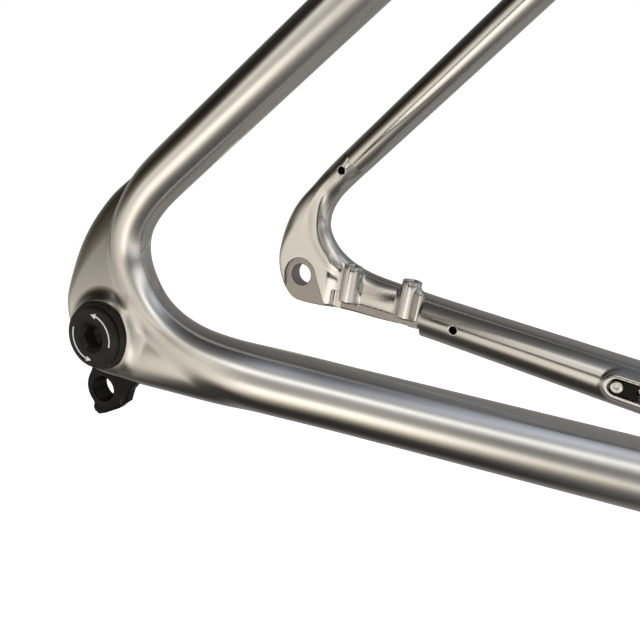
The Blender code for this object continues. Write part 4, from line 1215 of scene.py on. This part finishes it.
def make_bolt():
    """The washer, and the bolt with its hexagon socket and two painted arrows for the way it turns."""
    face = on_side((0, PAD_FACE + GAP, 0), -1)
    ring = softened([
        (BARREL_BORE, 0.02), (WASHER_RADIUS - 0.4, 0.02), (WASHER_RADIUS, 0.5), (WASHER_RADIUS, 1.3),
        (BOLT_RADIUS + 0.7, WASHER_THICK), (BARREL_BORE, WASHER_THICK)], 0.3)
    make_turned("hanger_washer_fine", ring, face, (0, -1, 0), BLACK_GLOSS, ["hanger_washer"], 128,
                slot="hanger_washer")
    head = face + np.array([0, -WASHER_THICK - GAP, 0])
    thick, socket = BOLT_THICK, hexagon_radius(8.0)
    rows = [(5.0, -11.0), (5.7, -10.3), (5.8, 0.0), (BOLT_RADIUS - 0.3, 0.0), (BOLT_RADIUS, 0.3),
            (BOLT_RADIUS, thick - 0.85), (BOLT_RADIUS - 0.12, thick - 0.5), (BOLT_RADIUS - 0.5, thick - 0.14),
            (BOLT_RADIUS - 0.9, thick), (5.7, thick), (5.45, thick - 0.1), (4.75, thick - 0.9),
            (socket, thick - 1.3), (socket, thick - 5.6), (3.2, thick - 6.2), (0.6, thick - 7.6)]
    bolt = make_turned("hanger_bolt_fine", rows, head, (0, -1, 0), BLACK_GLOSS, ["hanger_bolt"], 144,
                       closed=False, body="hanger_bolt", slot="hanger_bolt", across=(0, 0, 1))
    sharpen(bolt.data, 38)
    for name, start, end in (("hanger_bolt_arrow_up", -18, 70), ("hanger_bolt_arrow_down", 158, 250)):
        outline = arrow_outline(start, end, ARROW_RADIUS, ARROW_WIDTH)
        low = [head + np.array([x, -thick + 0.05, z]) for x, z in outline]
        points = [*low, *(p + np.array([0, -0.09, 0]) for p in low)]
        count = len(outline)
        faces = [tuple(range(count)), tuple(range(count, 2 * count))[::-1],
                 *(face[::-1] for face in ring_faces(2, count))]
        add_mesh(name, points, faces, (ARROW_PAINT,), "hanger_bolt", slot="hanger_bolt")


# ---- cable ports

PORT_LENGTH, PORT_WIDTH, PORT_MARGIN, PORT_PROUD, PORT_THICK, PORT_FLOOR = 38.0, 11.0, 1.9, 0.9, 3.4, 1.1
CHAINSTAY_PORT_AT, DOWN_TUBE_PORT_AT = 183.0, 520.0
PORT_FROM, PORT_TO = 156.0, 210.0
WELL_WINDOW, COVER_SLOT, COVER_THICK, COVER_GAP = (17.0, 6.4), (12.0, 5.0), 1.2, 0.25
COVER_TOP = PORT_FLOOR + COVER_GAP + COVER_THICK


def racetrack(x, y, length, width):
    """Signed distance to an oval with straight sides."""
    return np.hypot(np.maximum(np.abs(x) - (length - width) / 2, 0), y) - width / 2


class Port:
    """A raised oval rim let into a tube, with a well for its cover."""

    def __init__(self, centre, along, out, radius, tube):
        self.along = unit(along)
        self.out = unit(np.array(out, float) - self.along * (np.array(out, float) @ self.along))
        self.up = np.cross(self.out, self.along)
        self.foot = centre + self.out * (radius + PORT_PROUD - PORT_THICK)
        self.tube = tube

    def local(self, p):
        off = p - self.foot
        return off @ self.along, off @ self.up, off @ self.out

    def field(self, p):
        x, y, h = self.local(p)
        outer = racetrack(x, y, PORT_LENGTH, PORT_WIDTH)
        rim = soft_all(1.0, outer, h - PORT_THICK, -1.0 - h)
        body = soft_union(self.tube(p), rim, 2.6)
        inner = racetrack(x, y, PORT_LENGTH - 2 * PORT_MARGIN, PORT_WIDTH - 2 * PORT_MARGIN)
        body = soft_cut(body, np.maximum(inner, PORT_FLOOR - h), 0.5)
        return soft_cut(body, np.maximum(racetrack(x, y, *WELL_WINDOW), -2.0 - h), 0.2)

    def cover_field(self, p):
        x, y, h = self.local(p)
        outer = racetrack(x, y, PORT_LENGTH - 2 * PORT_MARGIN - 0.5, PORT_WIDTH - 2 * PORT_MARGIN - 0.5)
        plate = soft_all(0.5, outer, h - COVER_TOP, PORT_FLOOR + 0.1 - h)
        return soft_cut(plate, racetrack(x, y, *COVER_SLOT), 0.5)


def add_contoured(name, field, low, high, step, finish, stands_for, slot, along=None):
    """A piece of the frame whose field is in the frame's own axes."""
    points, quads = contour(field, low, high, step * (1))
    normals = corner_normals(field, points, quads)
    obj = add_mesh(name, points, quads, (finish,), "frame", stands_for, slot)
    if along is not None:
        set_along(obj, along(points))
    set_normals(obj, normals)


def make_port(prefix, port, reach, finish, seams, along=None):
    def body(p):
        """The rim with the bit of tube round it, closed inside so that the well's window looks dark."""
        return np.maximum(port.field(p), seams(p))

    box, step = (port.foot - reach, port.foot + reach), 0.42
    add_contoured(f"{prefix}_rim_fine", body, *box, step, finish, [f"{prefix}_rim"], "brushed_titanium",
                  along)
    add_contoured(f"{prefix}_cover_fine", port.cover_field, *box, step, BLACK_SATIN, [f"{prefix}_cover"],
                  "black_anodised")
    screw_at = (PORT_LENGTH - PORT_WIDTH) / 2
    for name, at in (("rear", -screw_at), ("front", screw_at)):
        base = port.foot + port.along * at + port.out * COVER_TOP
        make_screw(f"{prefix}_screw_{name}", base, port.out, 2.7, 1.2, 1.2, 3.4, 0.95)


def make_chainstay_port(casting):
    curve = Curve(np.array([on_side(chainstay_at(f), 1) for f in np.arange(120, 260, 8.0)]), 3)

    def stay(p):
        centre = curve.at(curve.nearest(p))[0]
        return lengths(p - centre) - CHAINSTAY_RADIUS

    def seams(p):
        return np.max([(p - on_side(chainstay_at(f), 1)) @ unit(stay_way(chainstay_at, f, 1, 1)) * sign
                       for f, sign in ((PORT_FROM, -1), (PORT_TO, 1))], axis=0)

    port = Port(on_side(chainstay_at(CHAINSTAY_PORT_AT), 1), stay_way(chainstay_at, CHAINSTAY_PORT_AT, 1),
                (0, -1, 0), CHAINSTAY_RADIUS, stay)
    make_port("chainstay_port", port, (31, 22, 19), METAL, seams,
              lambda p: casting.chain_seam_along + p[:, 0] - AXLE[0] - CHAIN_SEAM)


def make_down_tube_port(down_tube, down_way):
    """The front port, on its own bit of skin. The tube is carved away under it."""
    skin = cylinder_distance((0, 0, 0), down_way, DOWN_RADIUS)
    port = Port(down_way * DOWN_TUBE_PORT_AT, down_way, (0, 1, 0), DOWN_RADIUS, skin)

    def seams(p):
        x, y, h = port.local(p)
        return np.maximum(racetrack(x, y, PORT_LENGTH + 5, PORT_WIDTH + 5), -1.5 - h)

    make_port("down_tube_port", port, (24, 12, 24), titanium("brushed_titanium_port", down_way), seams)
    arc = np.radians(np.linspace(-90, 90, 10))
    half, radius = (PORT_LENGTH - PORT_WIDTH) / 2, (PORT_WIDTH + 4.4) / 2
    outline = [(half + radius * math.cos(a), radius * math.sin(a)) for a in arc]
    outline += [(-x, -y) for x, y in outline]
    carve(down_tube, cutter_prism(outline, port.foot - port.out * 3, port.along, port.up, port.out, 12))


# ---- bottle bosses and seat collar


BOTTLE_SPACING = 64.0


def make_bottle_mounts(down_way):
    for prefix, way, turn, radius, lowest in (
        ("down_tube", down_way, -1, DOWN_RADIUS, 215.0), ("seat_tube", SEAT_WAY, 1, SEAT_RADIUS, 165.0),
    ):
        out = np.cross((0, turn, 0), way)
        for which, at in (("lower", lowest), ("upper", lowest + BOTTLE_SPACING)):
            surface = way * at + out * (radius + GAP)
            flange = softened([(3.3, 1.5), (5.0, 1.5), (5.6, 0.9), (5.6, -0.6), (3.6, -0.7)], 0.3)
            rows = [*thread_rows(2.6, *M5_THREAD, -6.0, 1.2), (3.1, 1.5), *flange, (3.6, -6.2)]
            boss = f"{prefix}_boss_{which}"
            make_turned(f"{boss}_fine", rows, surface, out, METAL, [boss], 64)
            make_screw(f"{prefix}_bolt_{which}", surface + out * (1.5 + GAP), out, 4.2, 2.4, 2.3, 6.5, 1.7)


def make_seat_collar():
    """A clamp round the seat tube's slotted top: a ring with two ears, split behind."""
    height, inner, outer = 14.0, SEAT_RADIUS + GAP, SEAT_RADIUS + 3.4
    ear_at, bolt_at, bolt_hole, head_hole = SEAT_RADIUS + 5.2, SEAT_RADIUS + 7.2, 2.8, 4.4
    base = SEAT_WAY * (SEAT_TUBE_LENGTH - height - 2)
    back = -np.cross((0, 1, 0), SEAT_WAY)

    def field(p):
        off = p - base
        along, behind, side = off @ SEAT_WAY, off @ back, off[:, 1]
        radial = np.hypot(behind, side)
        ring = soft_all(0.9, radial - outer, -along, along - height)
        ear = soft_all(1.6, np.abs(behind - ear_at) - 6.2, np.abs(along - height / 2) - 6.2,
                       np.abs(side) - 11.0)
        body = soft_union(ring, ear, 2.0)
        body = soft_cut(body, radial - inner, 0.5)
        body = soft_cut(body, np.maximum(np.abs(side) - 1.2, 10 - behind), 0.3)
        hole = np.hypot(behind - bolt_at, along - height / 2)
        body = soft_cut(body, hole - bolt_hole, 0.3)
        return soft_cut(body, np.maximum(hole - head_hole, 8 - np.abs(side)), 0.3)

    add_contoured("seat_collar_fine", field, base - (40, 23, 6), base + (24, 23, 24), 0.5, BLACK_SATIN,
                  ["seat_collar"], "black_anodised")
    pivot = base + SEAT_WAY * height / 2 + back * bolt_at
    sideways = np.array([0, 1.0, 0])
    rows = [(2.4, -16.0), (2.4, 0.0), *softened([(4.0, 0.0), (4.0, 4.0), (2.6, 4.0)], 0.5),
            (hexagon_radius(4.2), 3.9), (hexagon_radius(4.0), 1.4), (1.4, 1.1)]
    make_turned("seat_collar_bolt_fine", rows, pivot - sideways * (8 + GAP), (0, -1, 0), STEEL,
                ["seat_collar_bolt"], 72, closed=False, slot="steel_fastener")
    rows = [(2.7, 0), *softened([(4.0, 0), (4.0, 3.4), (3.4, 4.0), (2.7, 4.0)], 0.3)]
    make_turned("seat_collar_nut_fine", rows, pivot + sideways * (8 + GAP), (0, 1, 0), STEEL,
                ["seat_collar_nut"], 64, slot="steel_fastener")


def main():
    make_camera()
    make_world()
    make_floor()
    castings = {side: make_casting(f"{name}_dropout_casting", side, [f"{name}_dropout"])
                for name, side in (("right", -1), ("left", 1))}
    make_stays(castings)
    down_tube, down_way = make_main_triangle()
    make_head_and_shell()
    make_brake_bosses()
    make_hanger()
    make_bolt()
    make_chainstay_port(castings[1])
    make_down_tube_port(down_tube, down_way)
    make_bottle_mounts(down_way)
    make_seat_collar()


main()
